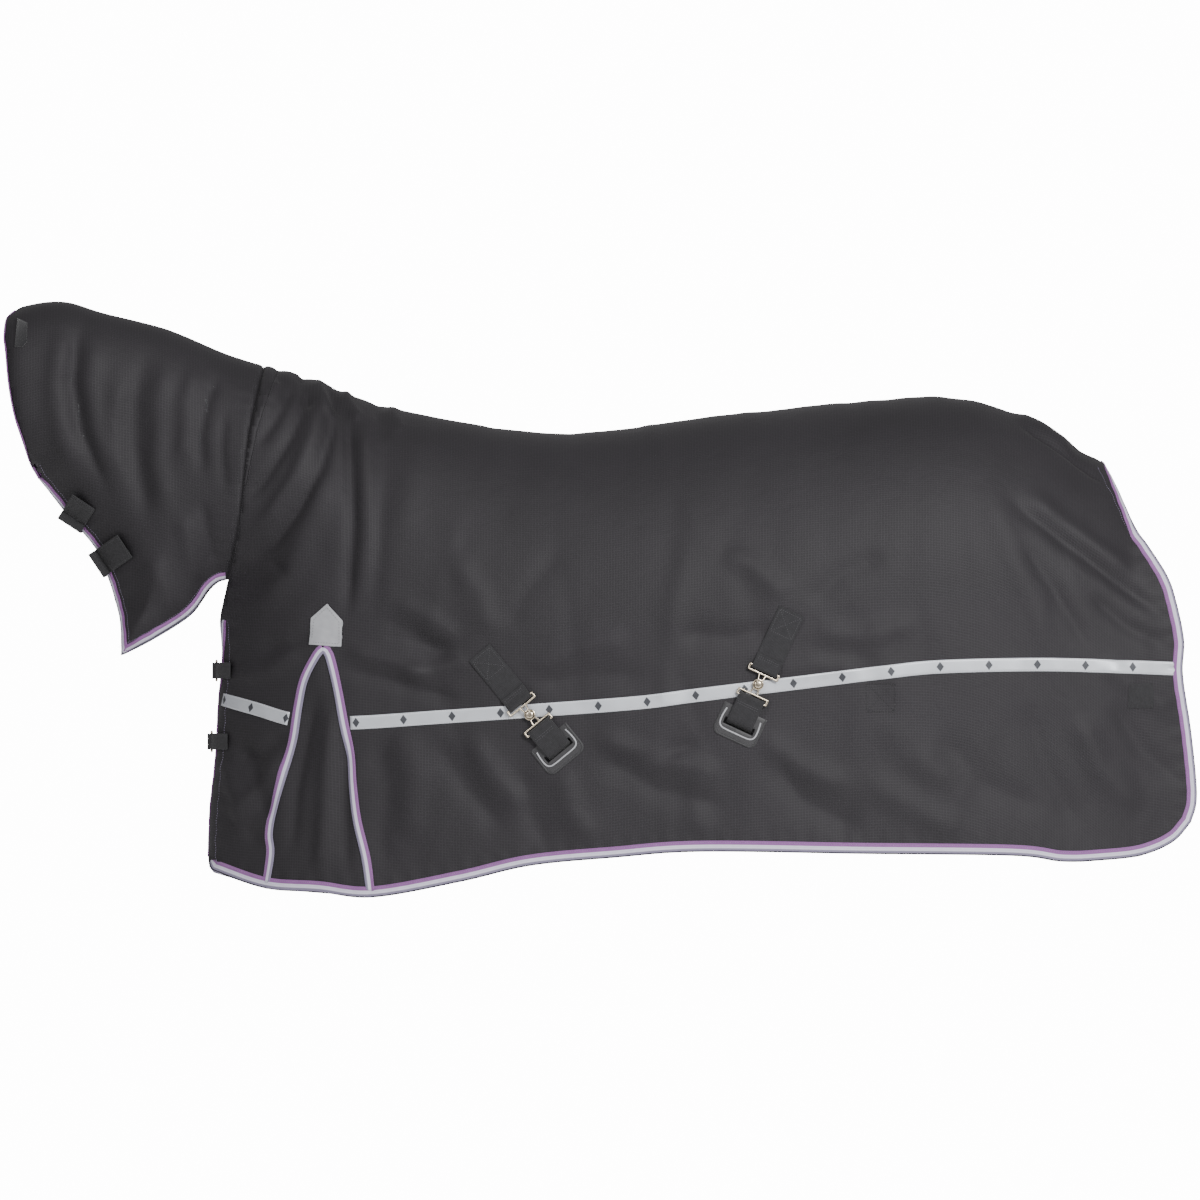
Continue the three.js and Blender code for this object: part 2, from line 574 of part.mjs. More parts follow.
for (const clasp of CLASPS) {
  const [sx, sz] = clasp.sewn;
  const [dx, dz] = clasp.direction;
  const middle = frameAt(onOuter, [sx + dx * BUTTON_AT, sz + dz * BUTTON_AT], clasp.direction, -1);
  // one frame for the whole clasp, measured from the sewn end and flat over the button
  const frame = { ...middle, origin: point(middle, -BUTTON_AT, 0, 0) };
  const low = 2 * GAP + TRIM + GAP + WEBBING / 2;
  const sewnRun = [2, 16, 30, 44, 58, 72, 86, 100].map((a) => {
    return [a, low + heightIn(frame, outerMesh, a, WEBBING_WIDTH / 2)];
  });
  const tab = strap(frame, [
    ...sewnRun,
    [TAB_LENGTH - 2, BAR_HEIGHT - LOOP],
    [TAB_LENGTH + LOOP * 0.7, BAR_HEIGHT - LOOP * 0.7],
    [TAB_LENGTH + LOOP, BAR_HEIGHT],
    [TAB_LENGTH + LOOP * 0.7, BAR_HEIGHT + LOOP * 0.7],
    [TAB_LENGTH - 1, BAR_HEIGHT + LOOP],
    [TAB_LENGTH - 12, BAR_HEIGHT],
    [TAB_LENGTH - 22, BAR_HEIGHT - 1.6],
  ], WEBBING_WIDTH, WEBBING);
  add(`${clasp.name}_surcingle_tab`, tab, WEB);
  const buttonTop = BAR_HEIGHT + 6;
  add(`${clasp.name}_clip_upper`, clipHalf(frame, TAB_LENGTH, 1, {
    reach: 2, rise: 4.4, pieces: (at) => [
      rod(at(BUTTON_AT, 0, BAR_HEIGHT + 3.6), at(BUTTON_AT, 0, buttonTop), BUTTON_RADIUS, 14),
      rod(at(BUTTON_AT, 0, BAR_HEIGHT - 1), at(BUTTON_AT, 0, BAR_HEIGHT + 5), 3.4, 8),
    ],
  }), NICKEL);
  add(`${clasp.name}_clip_lower`, clipHalf(frame, LOWER_BAR_AT, -1, {
    reach: RING_RADIUS - 1.5, rise: 0, pieces: (at) => {
      const disc = rod(at(BUTTON_AT, 0, BAR_HEIGHT - 1.2), at(BUTTON_AT, 0, BAR_HEIGHT + 0.8), RING_RADIUS, 16);
      const eye = rod(at(BUTTON_AT, 0, BAR_HEIGHT - 3), at(BUTTON_AT, 0, BAR_HEIGHT + 3), BUTTON_RADIUS - 0.5, 12);
      return [disc.subtract(eye)];
    },
  }), NICKEL);
  const slotStart = [SLOT_AT - SLOT_HEIGHT / 2, -SLOT_WIDTH / 2, -SLOT_CUT];
  const slotHole = slab(frame, slotStart, [SLOT_AT + SLOT_HEIGHT / 2, SLOT_WIDTH / 2, SLOT_CUT]);
  clasp.slotHole = slotHole;
  const corner = 14;
  const bevel = corner / 3.4;
  const foot = PATCH_START + PATCH_LENGTH;
  const half = PATCH_WIDTH / 2;
  const patchOutline = [
    [PATCH_START, -half], [foot - corner, -half], [foot - bevel, -half + bevel], [foot, -half + corner],
    [foot, half - corner], [foot - bevel, half - bevel], [foot - corner, half], [PATCH_START, half],
  ].map(([a, c]) => point(frame, a, c, 0)).map((p) => [p.x, p.z]);
  add(`${clasp.name}_slot_patch`, SHEETS.trim.intersect(block(patchOutline)).subtract(slotHole), RUBBER);
  // the belly strap: its stitched end, the loop, the run through the slot and under the belly to the far lining
  const endPoint = ([x, z], height) => {
    const [px, pz] = stretch(x, z);
    const edges = [-1, 0, 1].map((c) => onLining(px + (c * WEBBING_WIDTH) / 2, pz).y);
    return new THREE.Vector3(px, -Math.max(...edges) - height, pz);
  };
  const near = [
    [LOWER_BAR_AT + 22, BAR_HEIGHT - 2.2],
    [LOWER_BAR_AT + 12, BAR_HEIGHT - 1.9],
    [LOWER_BAR_AT, BAR_HEIGHT - LOOP],
    [LOWER_BAR_AT - LOOP * 0.7, BAR_HEIGHT - LOOP * 0.7],
    [LOWER_BAR_AT - LOOP, BAR_HEIGHT],
    [LOWER_BAR_AT - LOOP * 0.7, BAR_HEIGHT + LOOP * 0.7],
    [LOWER_BAR_AT, BAR_HEIGHT + LOOP],
    [LOWER_BAR_AT + 12, BAR_HEIGHT + 1.2],
    [LOWER_BAR_AT + 30, BAR_HEIGHT - 1],
    [SLOT_AT - 9, 5.2],
    [SLOT_AT - 1, -1],
    [SLOT_AT + 2, -9],
    [SLOT_AT + 3, -17],
  ].map(([a, n]) => point(frame, a, 0, n));
  const far = clasp.belly.map(([x, y, z]) => {
    const [px, pz] = stretch(x, z);
    return new THREE.Vector3(px, (y * WIDTH) / PATTERN.width, pz);
  });
  const seat = GAP + WEBBING / 2;
  const [ex, ez] = clasp.end;
  const last = [
    endPoint([ex, ez - 50], seat + 3), endPoint([ex, ez], seat + GAP), endPoint([ex, ez + 45], seat + GAP),
  ];
  const route = [...near, ...far, ...last];
  const farWidth = new THREE.Vector3(-1, 0, 0);
  const widths = route.map((_, i) => {
    const t = Math.min(Math.max((i - near.length + 1) / 4, 0), 1);
    const from = frame.across.clone().multiplyScalar(Math.sign(frame.across.dot(farWidth)) || 1);
    return from.multiplyScalar(1 - t).addScaledVector(farWidth, t);
  });
  add(`${clasp.name}_belly_strap`, ribbon(route, widths, WEBBING_WIDTH, WEBBING), WEB);
}

// ---- cloth panels ----

// the corner under the neck seam, where the fill, the lining and the chest's binding stop short
const CHEST_CORNER = place([[-700, -340], [-592, -340]]);
const chestCorner = block([...CHEST_CORNER, [CHEST_CORNER[1][0], ABOVE], [CHEST_CORNER[0][0], ABOVE]]);
const slots = join(CLASPS.map((clasp) => clasp.slotHole));
const BODY_PLIES = [
  ["body_outer", SHEETS.outer, GAP / 2, RIPSTOP],
  ["body_fill", SHEETS.fill, BODY_HEM_BACK, WADDING],
  ["body_lining", SHEETS.lining, BODY_HEM_BACK, TAFFETA],
];
for (const [name, layer, fromSeam, material] of BODY_PLIES) {
  const whole = layer.intersect(block(bodyOutline(EDGE_ROOM, fromSeam))).subtract(gussetHole);
  const panel = layer === SHEETS.outer ? whole : whole.subtract(chestCorner);
  add(`${name}_left`, panel.subtract(slots), material);
  add(`${name}_right`, panel, material, true);
}
addPair("neck_outer", SHEETS.outer.intersect(neckBlock), RIPSTOP);
const neckLiningBlock = block(neckOutline(EDGE_ROOM, EDGE_ROOM, NECK_HEM_BACK));
addPair("neck_lining", SHEETS.neckLining.intersect(neckLiningBlock), TAFFETA);

const gussetSheet = sheet(-STACK, 0);
addPair("shoulder_gusset", gussetSheet.intersect(gussetBlock).intersect(bodyBlock), RIPSTOP);

// ---- edge bindings: braid folded round the bound edges ----

const bodyBand = block(bodyOutline(0, GAP / 2)).subtract(block(bodyOutline(BINDING_WIDTH, OVERRUN)));
const seamEnd = block(band(SEAM, 2)); // leaves the bindings open where they meet the neck seam
const bodyRoom = SHEETS.bodyRoom.intersect(block(bodyOutline(TRIM, GAP / 2)).add(seamEnd));
addPair("body_binding", SHEETS.bodyWrap.intersect(bodyBand).subtract(bodyRoom).subtract(chestCorner), BRAID);
const insideNeckBand = block(neckOutline(BINDING_WIDTH, FACE_BINDING_WIDTH, OVERRUN));
const neckBand = block(neckOutline(0, 0, GAP / 2)).subtract(insideNeckBand);
const neckRoom = SHEETS.neckRoom.intersect(block(neckOutline(TRIM, TRIM, GAP / 2)).add(seamEnd));
addPair("neck_binding", SHEETS.neckWrap.intersect(neckBand).subtract(neckRoom), BRAID);

// ---- trims laid on the outer ----

const gussetEdges = (width) => block(band(GUSSET_LEFT, width)).add(block(band(GUSSET_RIGHT, width)));
const gussetBand = gussetEdges(GUSSET_BINDING_WIDTH);
const patchRoom = block(inset(GUSSET_PATCH, -GAP));
addPair("gusset_binding", SHEETS.trim.intersect(gussetBand).intersect(insideBinding).subtract(patchRoom), BRAID);
addPair("gusset_patch", SHEETS.trim.intersect(block(GUSSET_PATCH)), PATCH);
const tapeBlock = block(band(TAPE_LINE, TAPE_WIDTH)).intersect(insideBinding);
const gussetSpan = gussetHole.add(gussetEdges(GUSSET_BINDING_WIDTH + 2 * GAP));
const tape = SHEETS.trim.intersect(tapeBlock).subtract(gussetSpan);
const [gussetPoint] = GUSSET_LEFT[0];
const behindGusset = block([[gussetPoint, BELOW], [BEYOND, BELOW], [BEYOND, 0], [gussetPoint, 0]]);
addPair("reflective_tape_front", tape.subtract(behindGusset), REFLECTIVE);
addPair("reflective_tape_main", tape.intersect(behindGusset), REFLECTIVE);
addPair("neck_seam_strip", SHEETS.trim.intersect(block(SEAM_STRIP)), RIPSTOP);
addPair("poll_pad", SHEETS.trim.intersect(block(POLL_PAD)).intersect(insideNeckBinding), WEB);

// ---- chest closures: a billet from the right panel through a buckle on the left panel ----

const CHEST_HEIGHTS = [["upper", -442], ["lower", -574]];
const BUCKLE_HALF = 16; // from the middle to each of the buckle's upright bars
const BUCKLE_HEIGHT = 8; // of the bars' axes over the cloth
const CHEST_WIRE = 2.1;
const TONGUE_WIRE = 1.9;

for (const [name, pz] of CHEST_HEIGHTS) {
  const [, z] = stretch(0, pz);
  const up = new THREE.Vector3(0, 0, 1);
  const heights = [-1, 0, 1].map((c) => z + (c * CHEST_WEBBING_WIDTH) / 2);
  const frontmost = (y) => Math.min(...heights.map((height) => onChest(y, height).x));
  const at = (y, n, dz = 0) => new THREE.Vector3(frontmost(y) - n, y, z + dz);
  const flat = at(0, 0).x; // the buckle lies flat over the middle of the chest
  const over = (y, n, dz = 0) => new THREE.Vector3(flat - n, y, z + dz);
  const run = (points, width) => ribbon(points, points.map(() => up), width, WEBBING);
  const low = GAP + TRIM + 8 * GAP + WEBBING / 2;
  const loop = CHEST_WIRE + 3 * GAP + WEBBING / 2;
  const bar = BUCKLE_HEIGHT;
  const rail = CHEST_WEBBING_WIDTH / 2 + 3 * GAP + CHEST_WIRE;
  const past = CHEST_WIRE * 0.6; // the bars run on through the corners
  const frame = join([
    rod(over(-BUCKLE_HALF, bar, -rail - past), over(-BUCKLE_HALF, bar, rail + past), CHEST_WIRE),
    rod(over(BUCKLE_HALF, bar, -rail - past), over(BUCKLE_HALF, bar, rail + past), CHEST_WIRE),
    rod(over(-BUCKLE_HALF - past, bar, rail), over(BUCKLE_HALF + past, bar, rail), CHEST_WIRE),
    rod(over(-BUCKLE_HALF - past, bar, -rail), over(BUCKLE_HALF + past, bar, -rail), CHEST_WIRE),
  ]);
  add(`${name}_chest_buckle`, frame, NICKEL);
  const b = -BUCKLE_HALF;
  const tongueRing = rod(over(b, bar, -2.2), over(b, bar, 2.2), CHEST_WIRE + 2.4, 12)
    .subtract(rod(over(b, bar, -4), over(b, bar, 4), CHEST_WIRE + GAP + 0.2, 12));
  const tip = over(BUCKLE_HALF + 3, bar + CHEST_WIRE + GAP + TONGUE_WIRE);
  const tongueTip = rod(over(b + CHEST_WIRE + 1.6, bar + 1.2), tip, TONGUE_WIRE);
  add(`${name}_buckle_tongue`, tongueRing.add(tongueTip), NICKEL);
  const notch = (y0, y1, half) => {
    const geometry = new THREE.BoxGeometry(60, y1 - y0, 2 * half);
    geometry.translate(flat, (y0 + y1) / 2, z);
    return solid(geometry);
  };
  const chape = run([
    at(-78, low + GAP), at(-60, low), at(-40, low), at(-26, low), over(b - 1, bar - loop),
    over(b + loop * 0.7, bar - loop * 0.7), over(b + loop, bar), over(b + loop * 0.7, bar + loop * 0.7),
    over(b - 1, bar + loop), over(b - 10, bar + 1), at(-38, low + WEBBING + GAP * 2),
  ], CHEST_WEBBING_WIDTH).subtract(notch(b - loop - 3, b + loop + 3, 3.4));
  add(`${name}_chest_chape`, chape, WEB);
  const top = bar + loop + WEBBING + 2 * GAP;
  const billet = run([
    at(98, low), at(70, low), at(42, low), over(BUCKLE_HALF + 8, 3), over(BUCKLE_HALF - 1, 3.4),
    over(9, 6), over(0, 9.6), over(b + 8, top - 0.6), over(b, top), over(b - 9, top - 1),
    at(-36, low + 2 * WEBBING + 3), at(-52, low + WEBBING + 7), at(-70, low + WEBBING + 6),
    at(-88, low + WEBBING + 2),
  ], CHEST_WEBBING_WIDTH).subtract(notch(b - 3, BUCKLE_HALF - 3, 3.4));
  add(`${name}_chest_billet`, billet, WEB);
}

// ---- throat tabs: webbing sewn to the right edge, folded over the throat and stuck to the left panel ----

const THROAT_TABS = [
  { name: "upper", edge: [-908, -164], inward: [0.546, 0.838], length: 42 },
  { name: "lower", edge: [-855, -242], inward: [0.832, 0.555], length: 56 },
];
const THROAT_TAB_WIDTH = 51;

for (const tab of THROAT_TABS) {
  const [ex, ez] = stretch(...tab.edge);
  const [ix, iz] = tab.inward;
  const across = new THREE.Vector3(iz, 0, -ix);
  const low = GAP + TRIM + 6 * GAP + WEBBING / 2;
  // the outermost the cloth stands under the tab's width, this far in from the edge
  const side = (a) => Math.max(...[-1, 0, 1].map((c) => {
    const w = (c * THROAT_TAB_WIDTH) / 2;
    return -onOuter(ex + ix * a + iz * w, ez + iz * a - ix * w).y;
  }));
  const on = (a, y) => new THREE.Vector3(ex + ix * a, y, ez + iz * a);
  const places = [...[1, 0.8, 0.6, 0.4, 0.25].map((share) => tab.length * share), 6];
  const left = places.map((a) => on(a, -side(a) - low));
  const rim = side(6) + low;
  const turnOut = [on(-6, -rim + 3), on(-9, -rim + 10), on(-9, rim - 10), on(-6, rim - 2.5), on(-2, rim)];
  const points = [...left, ...turnOut];
  add(`${tab.name}_throat_tab`, ribbon(points, points.map(() => across), THROAT_TAB_WIDTH, WEBBING), WEB);
  const padEnds = [23, tab.length - 2].map((a) => [ex + ix * a, ez + iz * a]);
  const padOutline = band(padEnds, THROAT_TAB_WIDTH - 4);
  add(`${tab.name}_throat_pad`, SHEETS.trim.intersect(block(padOutline)).intersect(insideNeckBinding), WEB);
}

// ---- tail flap: hangs inside the rear edge, cut to the arch under the lining ----

const TAIL_FLAP = { x: 986, drop: 430, thickness: 4, corner: 26 };
{
  const [x] = stretch(TAIL_FLAP.x, 0);
  const [, foot] = stretch(0, -TAIL_FLAP.drop);
  const half = TAIL_FLAP_WIDTH / 2;
  const arch = [0, 0.25, 0.5, 0.75, 0.95].map((share) => {
    const y = half * share + GAP;
    return [y, hit(liningMesh, [x, -y, foot], [0, 0, 1]).z - 2 * GAP];
  });
  const { corner } = TAIL_FLAP;
  const bevel = corner * 0.3;
  const rightHalf = [...arch, [half, foot + corner], [half - bevel, foot + bevel], [half - corner, foot]];
  const outline = [...rightHalf, ...rightHalf.map(([y, z]) => [-y, z]).reverse()];
  const shape = new THREE.Shape(outline.map(([y, z]) => new THREE.Vector2(y, z)));
  const geometry = new THREE.ExtrudeGeometry(shape, { depth: TAIL_FLAP.thickness, bevelEnabled: false });
  const [forward, left, up] = [[1, 0, 0], [0, 1, 0], [0, 0, 1]].map((axis) => new THREE.Vector3(...axis));
  geometry.applyMatrix4(new THREE.Matrix4().makeBasis(left, up, forward));
  geometry.translate(x - TAIL_FLAP.thickness, 0, 0);
  add("tail_flap", solid(geometry), RIPSTOP);
}

// ---- leg strap rings on webbing loops inside each side ----

const LEG_RINGS = [["flank", 592, -491], ["rear", 1074, -488]];
const RING_WIDTH = 42; // inside
const RING_DROP = 30;

for (const [name, px, pz] of LEG_RINGS) {
  const frame = frameAt(onLining, stretch(px, pz), [0, -1], 1);
  const reach = RING_WIDTH / 2 + 4;
  const rise = Math.max(...[-38, -20, 0, 20, 36].map((a) => heightIn(frame, liningMesh, a, reach)));
  frame.origin.addScaledVector(frame.out, rise);
  const bar = RING_WIRE;
  const height = 7.5;
  const loop = bar * 1.42 + GAP + WEBBING / 2;
  const low = 2 * GAP + WEBBING / 2;
  const tab = strap(frame, [
    [-38, low], [-20, low], [-8, low + 0.2], [1, height - loop], [loop * 0.8, height - loop * 0.7],
    [loop + 0.3, height], [loop * 0.8, height + loop * 0.7], [0, height + loop], [-9, height + 0.6],
    [-24, low + WEBBING + 2 * GAP],
  ], RING_WIDTH - 4, WEBBING);
  addPair(`${name}_ring_tab`, tab, WEB);
  // a D-shaped outline round the ring's opening, grown by the wire
  const outline = (grow) => {
    const half = RING_WIDTH / 2 + grow;
    const knee = -RING_DROP * 0.85 - grow * 0.8;
    const shoulder = -RING_DROP * 0.45 - bar;
    const foot = -RING_DROP - grow - bar;
    const rightSide = [[half, grow - bar], [half, shoulder], [half * 0.75, knee - bar], [half * 0.36, foot]];
    const whole = [...rightSide, ...rightSide.map(([c, a]) => [-c, a]).reverse()];
    return whole.map(([c, a]) => new THREE.Vector2(c, a));
  };
  const shape = new THREE.Shape(outline(2 * bar));
  shape.holes.push(new THREE.Path(outline(0).reverse()));
  const geometry = new THREE.ExtrudeGeometry(shape, { depth: 2 * bar, bevelEnabled: false });
  geometry.translate(0, 0, -bar);
  const down = frame.along.clone().negate();
  const sideways = new THREE.Vector3().crossVectors(down, frame.out);
  geometry.applyMatrix4(new THREE.Matrix4().makeBasis(sideways, down, frame.out));
  geometry.translate(...point(frame, 0, 0, height).toArray());
  addPair(`${name}_leg_ring`, solid(geometry), NICKEL);
}

export default rug;
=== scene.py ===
# A turnout rug with a fixed full neck, filled out as it is on a horse. Metres, +X towards the tail, +Z up.
# The horse's left side, with the clasps, faces -Y.
import json
import math

import bmesh
import bpy
import numpy as np
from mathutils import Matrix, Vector
from mathutils.bvhtree import BVHTree
from mathutils.geometry import delaunay_2d_cdt
from mathutils.kdtree import KDTree


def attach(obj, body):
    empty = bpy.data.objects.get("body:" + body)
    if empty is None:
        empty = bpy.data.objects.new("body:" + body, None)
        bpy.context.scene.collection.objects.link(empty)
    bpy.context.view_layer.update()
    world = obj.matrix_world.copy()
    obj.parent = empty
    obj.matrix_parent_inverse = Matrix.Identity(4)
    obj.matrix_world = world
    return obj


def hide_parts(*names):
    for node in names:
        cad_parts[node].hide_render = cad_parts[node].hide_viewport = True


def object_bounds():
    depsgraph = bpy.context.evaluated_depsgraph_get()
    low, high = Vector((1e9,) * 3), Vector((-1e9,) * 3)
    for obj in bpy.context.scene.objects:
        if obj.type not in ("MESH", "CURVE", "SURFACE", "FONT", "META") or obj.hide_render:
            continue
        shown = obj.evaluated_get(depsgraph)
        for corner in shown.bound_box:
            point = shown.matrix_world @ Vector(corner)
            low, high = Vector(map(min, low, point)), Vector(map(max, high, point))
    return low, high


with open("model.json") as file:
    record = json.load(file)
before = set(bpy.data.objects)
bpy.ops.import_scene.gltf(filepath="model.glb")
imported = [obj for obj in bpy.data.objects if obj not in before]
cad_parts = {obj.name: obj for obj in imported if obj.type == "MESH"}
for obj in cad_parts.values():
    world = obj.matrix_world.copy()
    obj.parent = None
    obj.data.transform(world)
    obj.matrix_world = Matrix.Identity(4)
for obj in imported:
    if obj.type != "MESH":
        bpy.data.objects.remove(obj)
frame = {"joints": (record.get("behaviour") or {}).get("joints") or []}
cad_low, cad_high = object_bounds()
joints = {joint["name"]: joint for joint in frame["joints"]}

# ---- camera, light and backdrop ----
# A long lens square to the rug's left side, three large soft lamps, white paper far behind and a pale floor at the
# level where the horse would stand. None of it is part of the rug.
STAND_OFF = 40.0
VIEW_WIDTH = 2.22
camera = bpy.data.objects.new("camera", bpy.data.cameras.new("camera"))
bpy.context.scene.collection.objects.link(camera)
camera.location = (0.074, -STAND_OFF, -0.301)
camera.rotation_euler = (math.pi / 2, 0, 0)
camera.data.lens = camera.data.sensor_width * (STAND_OFF - 0.25) / VIEW_WIDTH
camera.data.clip_end = 200
bpy.context.scene.camera = camera

world = bpy.data.worlds.new("studio")
bpy.context.scene.world = world
world.use_nodes = True
world.node_tree.nodes["Background"].inputs["Color"].default_value = (1.0, 0.98, 1.0, 1)
world.node_tree.nodes["Background"].inputs["Strength"].default_value = 0.30


def lamp(name, place, aim, size, power):
    light = bpy.data.lights.new(name, "AREA")
    light.shape = "RECTANGLE"
    light.size, light.size_y = size
    light.energy = power
    holder = bpy.data.objects.new(name, light)
    bpy.context.scene.collection.objects.link(holder)
    holder.location = place
    holder.rotation_euler = (Vector(aim) - Vector(place)).to_track_quat("-Z", "Y").to_euler()


lamp("key_lamp", (2.4, -4.6, 1.5), (0.1, 0, -0.35), (2.0, 1.4), 330)
lamp("fill_lamp", (-2.6, -3.6, 1.0), (-0.3, 0, -0.3), (1.2, 1.2), 50)
lamp("top_lamp", (-0.6, -2.2, 3.4), (-0.1, 0, -0.2), (1.6, 1.0), 30)


def link(name, vertices, faces, smooth=True):
    mesh = bpy.data.meshes.new(name)
    mesh.from_pydata([tuple(map(float, v)) for v in vertices], [], [tuple(map(int, f)) for f in faces])
    mesh.validate()
    if smooth:
        mesh.shade_smooth()
    made = bpy.data.objects.new(name, mesh)
    bpy.context.scene.collection.objects.link(made)
    return made


def studio_sheet(name, corners, surface, tone, roughness, glow):
    """A plain lit sheet of the studio, not a part of the rug."""
    sheet = link(name, corners, [(0, 1, 2, 3)])
    material = bpy.data.materials.new(surface)
    material.use_nodes = True
    paint = material.node_tree.nodes["Principled BSDF"]
    paint.inputs["Base Color"].default_value = (tone, tone, tone, 1)
    paint.inputs["Roughness"].default_value = roughness
    paint.inputs["Emission Color"].default_value = (1, 1, 1, 1)
    paint.inputs["Emission Strength"].default_value = glow
    sheet.data.materials.append(material)


PAPER_AT = 26
studio_sheet("studio_backdrop",
             [(-2.4, PAPER_AT, -2.6), (2.4, PAPER_AT, -2.6), (2.4, PAPER_AT, 2.2), (-2.4, PAPER_AT, 2.2)],
             "lit_white_paper", 0.9, 0.5, 14.0)
HEM_OVER_FLOOR = 0.66
ground = cad_low.z - HEM_OVER_FLOOR
studio_sheet("studio_floor", [(-6, -3, ground), (6, -3, ground), (6, 3, ground), (-6, 3, ground)],
             "pale_floor", 0.92, 0.9, 0.2)


# ---- the horse's shape under the cloth ----
# The cloth lies on a filled-out shape of back, barrel, shoulder and neck. Side-view lines of the seams and edges are
# in millimetres at the drafted size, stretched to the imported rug.
MM = 0.001
DRAFT_LOW, DRAFT_HIGH = (-1034, -860), (1180, 243.7)
STACK = 9.7
TOP = [
    (-1060, 203), (-1028, 219), (-1000, 236), (-925, 245), (-851, 224), (-731, 193), (-620, 147), (-551, 126),
    (-481, 109), (-388, 69), (-324, 50), (-240, 31), (-166, 18), (-74, 4), (0, 0), (111, 7), (259, 28), (407, 44),
    (555, 59), (666, 67), (740, 63), (814, 48), (892, 18), (934, -6), (975, -35), (1014, -57), (1060, -95),
]
FACE = [(-1012, 231), (-1030, 214), (-1034, 180), (-1030, 145), (-1024, 85), (-1012, 24), (-988, -50), (-971, -85)]
THROAT = [(-971, -85), (-925, -142), (-860, -222), (-842, -268), (-828, -312), (-818, -357), (-816, -413)]
NECK_HEM = [(-816, -413), (-758, -383), (-690, -339), (-655, -294), (-636, -277), (-618, -274)]
SEAM = [(-618, -274), (-614, -250), (-600, -182), (-590, -100), (-577, 4), (-551, 126)]
CHEST = [
    (-618, -274), (-624, -305), (-632, -348), (-629, -420), (-636, -500), (-642, -607), (-652, -699), (-655, -788),
    (-646, -812),
]
HEM = [
    (-646, -812), (-549, -844), (-448, -851), (-346, -860), (-185, -831), (-55, -801), (100, -786), (259, -775),
    (555, -779), (836, -783), (929, -794), (1000, -792), (1077, -783), (1136, -758), (1169, -722),
]
REAR = [
    (1169, -722), (1180, -673), (1170, -560), (1154, -450), (1156, -385), (1141, -311), (1125, -265), (1091, -211),
    (1066, -174), (1032, -96), (1010, -52),
]
GUSSET_LEFT = [
    (-437, -400), (-449, -412), (-473, -457), (-485, -509), (-496, -572), (-516, -644), (-533, -705), (-539, -745),
    (-536, -781), (-546, -846),
]
GUSSET_RIGHT = [
    (-437, -400), (-426, -412), (-411, -475), (-398, -542), (-388, -598), (-384, -655), (-376, -716), (-359, -788),
    (-350, -849), (-349, -860),
]
FULL_WIDTH = [
    (-1040, 112), (-900, 126), (-750, 140), (-620, 168), (-500, 212), (-350, 268), (-150, 305), (150, 330),
    (500, 322), (750, 300), (950, 264), (1100, 226), (1220, 196),
]
ROUNDING = [(-1040, 120), (-800, 150), (-600, 210), (-400, 320), (-100, 380), (400, 390), (800, 330), (1200, 280)]
# towards the throat and chest the side turns in: (x, z, share of the width left at the edge, reach, roundness)
TURN_IN = [
    (-985, -70, 0.3, 110, 0), (-925, -142, 0.2, 130, 0), (-860, -222, 0.2, 130, 0), (-828, -312, 0.25, 130, 0),
    (-816, -413, 0.45, 120, 0), (-758, -383, 0.6, 110, 0), (-690, -339, 0.55, 120, 0), (-645, -290, 0.5, 140, 0),
    (-618, -274, 0.48, 170, 0), (-625, -320, 0.42, 180, 0), (-631, -370, 0.28, 190, 0.1), (-629, -420, 0.12, 200, 0.5),
    (-636, -500, 0.03, 250, 1), (-642, -607, 0.03, 250, 1), (-652, -699, 0.03, 250, 1), (-655, -788, 0.03, 250, 1),
]
stretch_x = (cad_high.x - cad_low.x) / (DRAFT_HIGH[0] - DRAFT_LOW[0]) * 1000
DRAFT_HALF_WIDTH = 0.332
stretch_y = cad_high.y / DRAFT_HALF_WIDTH
stretch_z = (cad_high.z - cad_low.z) / (DRAFT_HIGH[1] - DRAFT_LOW[1]) * 1000


def smooth(knots, x):
    """A smooth curve through knots (x, y), at the values x."""
    kx = np.array([k[0] for k in knots], float)
    ky = np.array([k[1] for k in knots], float)
    before, after = np.maximum(np.arange(len(kx)) - 1, 0), np.minimum(np.arange(len(kx)) + 1, len(kx) - 1)
    slope = (ky[after] - ky[before]) / (kx[after] - kx[before])
    i = np.clip(np.searchsorted(kx, x) - 1, 0, len(kx) - 2)
    width = kx[i + 1] - kx[i]
    t = np.clip((x - kx[i]) / width, 0, 1)
    rise = ky[i + 1] - ky[i]
    a = slope[i] * width - rise
    b = rise - slope[i + 1] * width
    return ky[i] + rise * t + t * (1 - t) * (a * (1 - t) + b * t)


ROUND_POWER = 2.2
GIRTH_SHARE = 0.62


def quarter_round(k):
    return (1 - (1 - np.clip(k, 0, 1)) ** ROUND_POWER) ** (1 / ROUND_POWER)


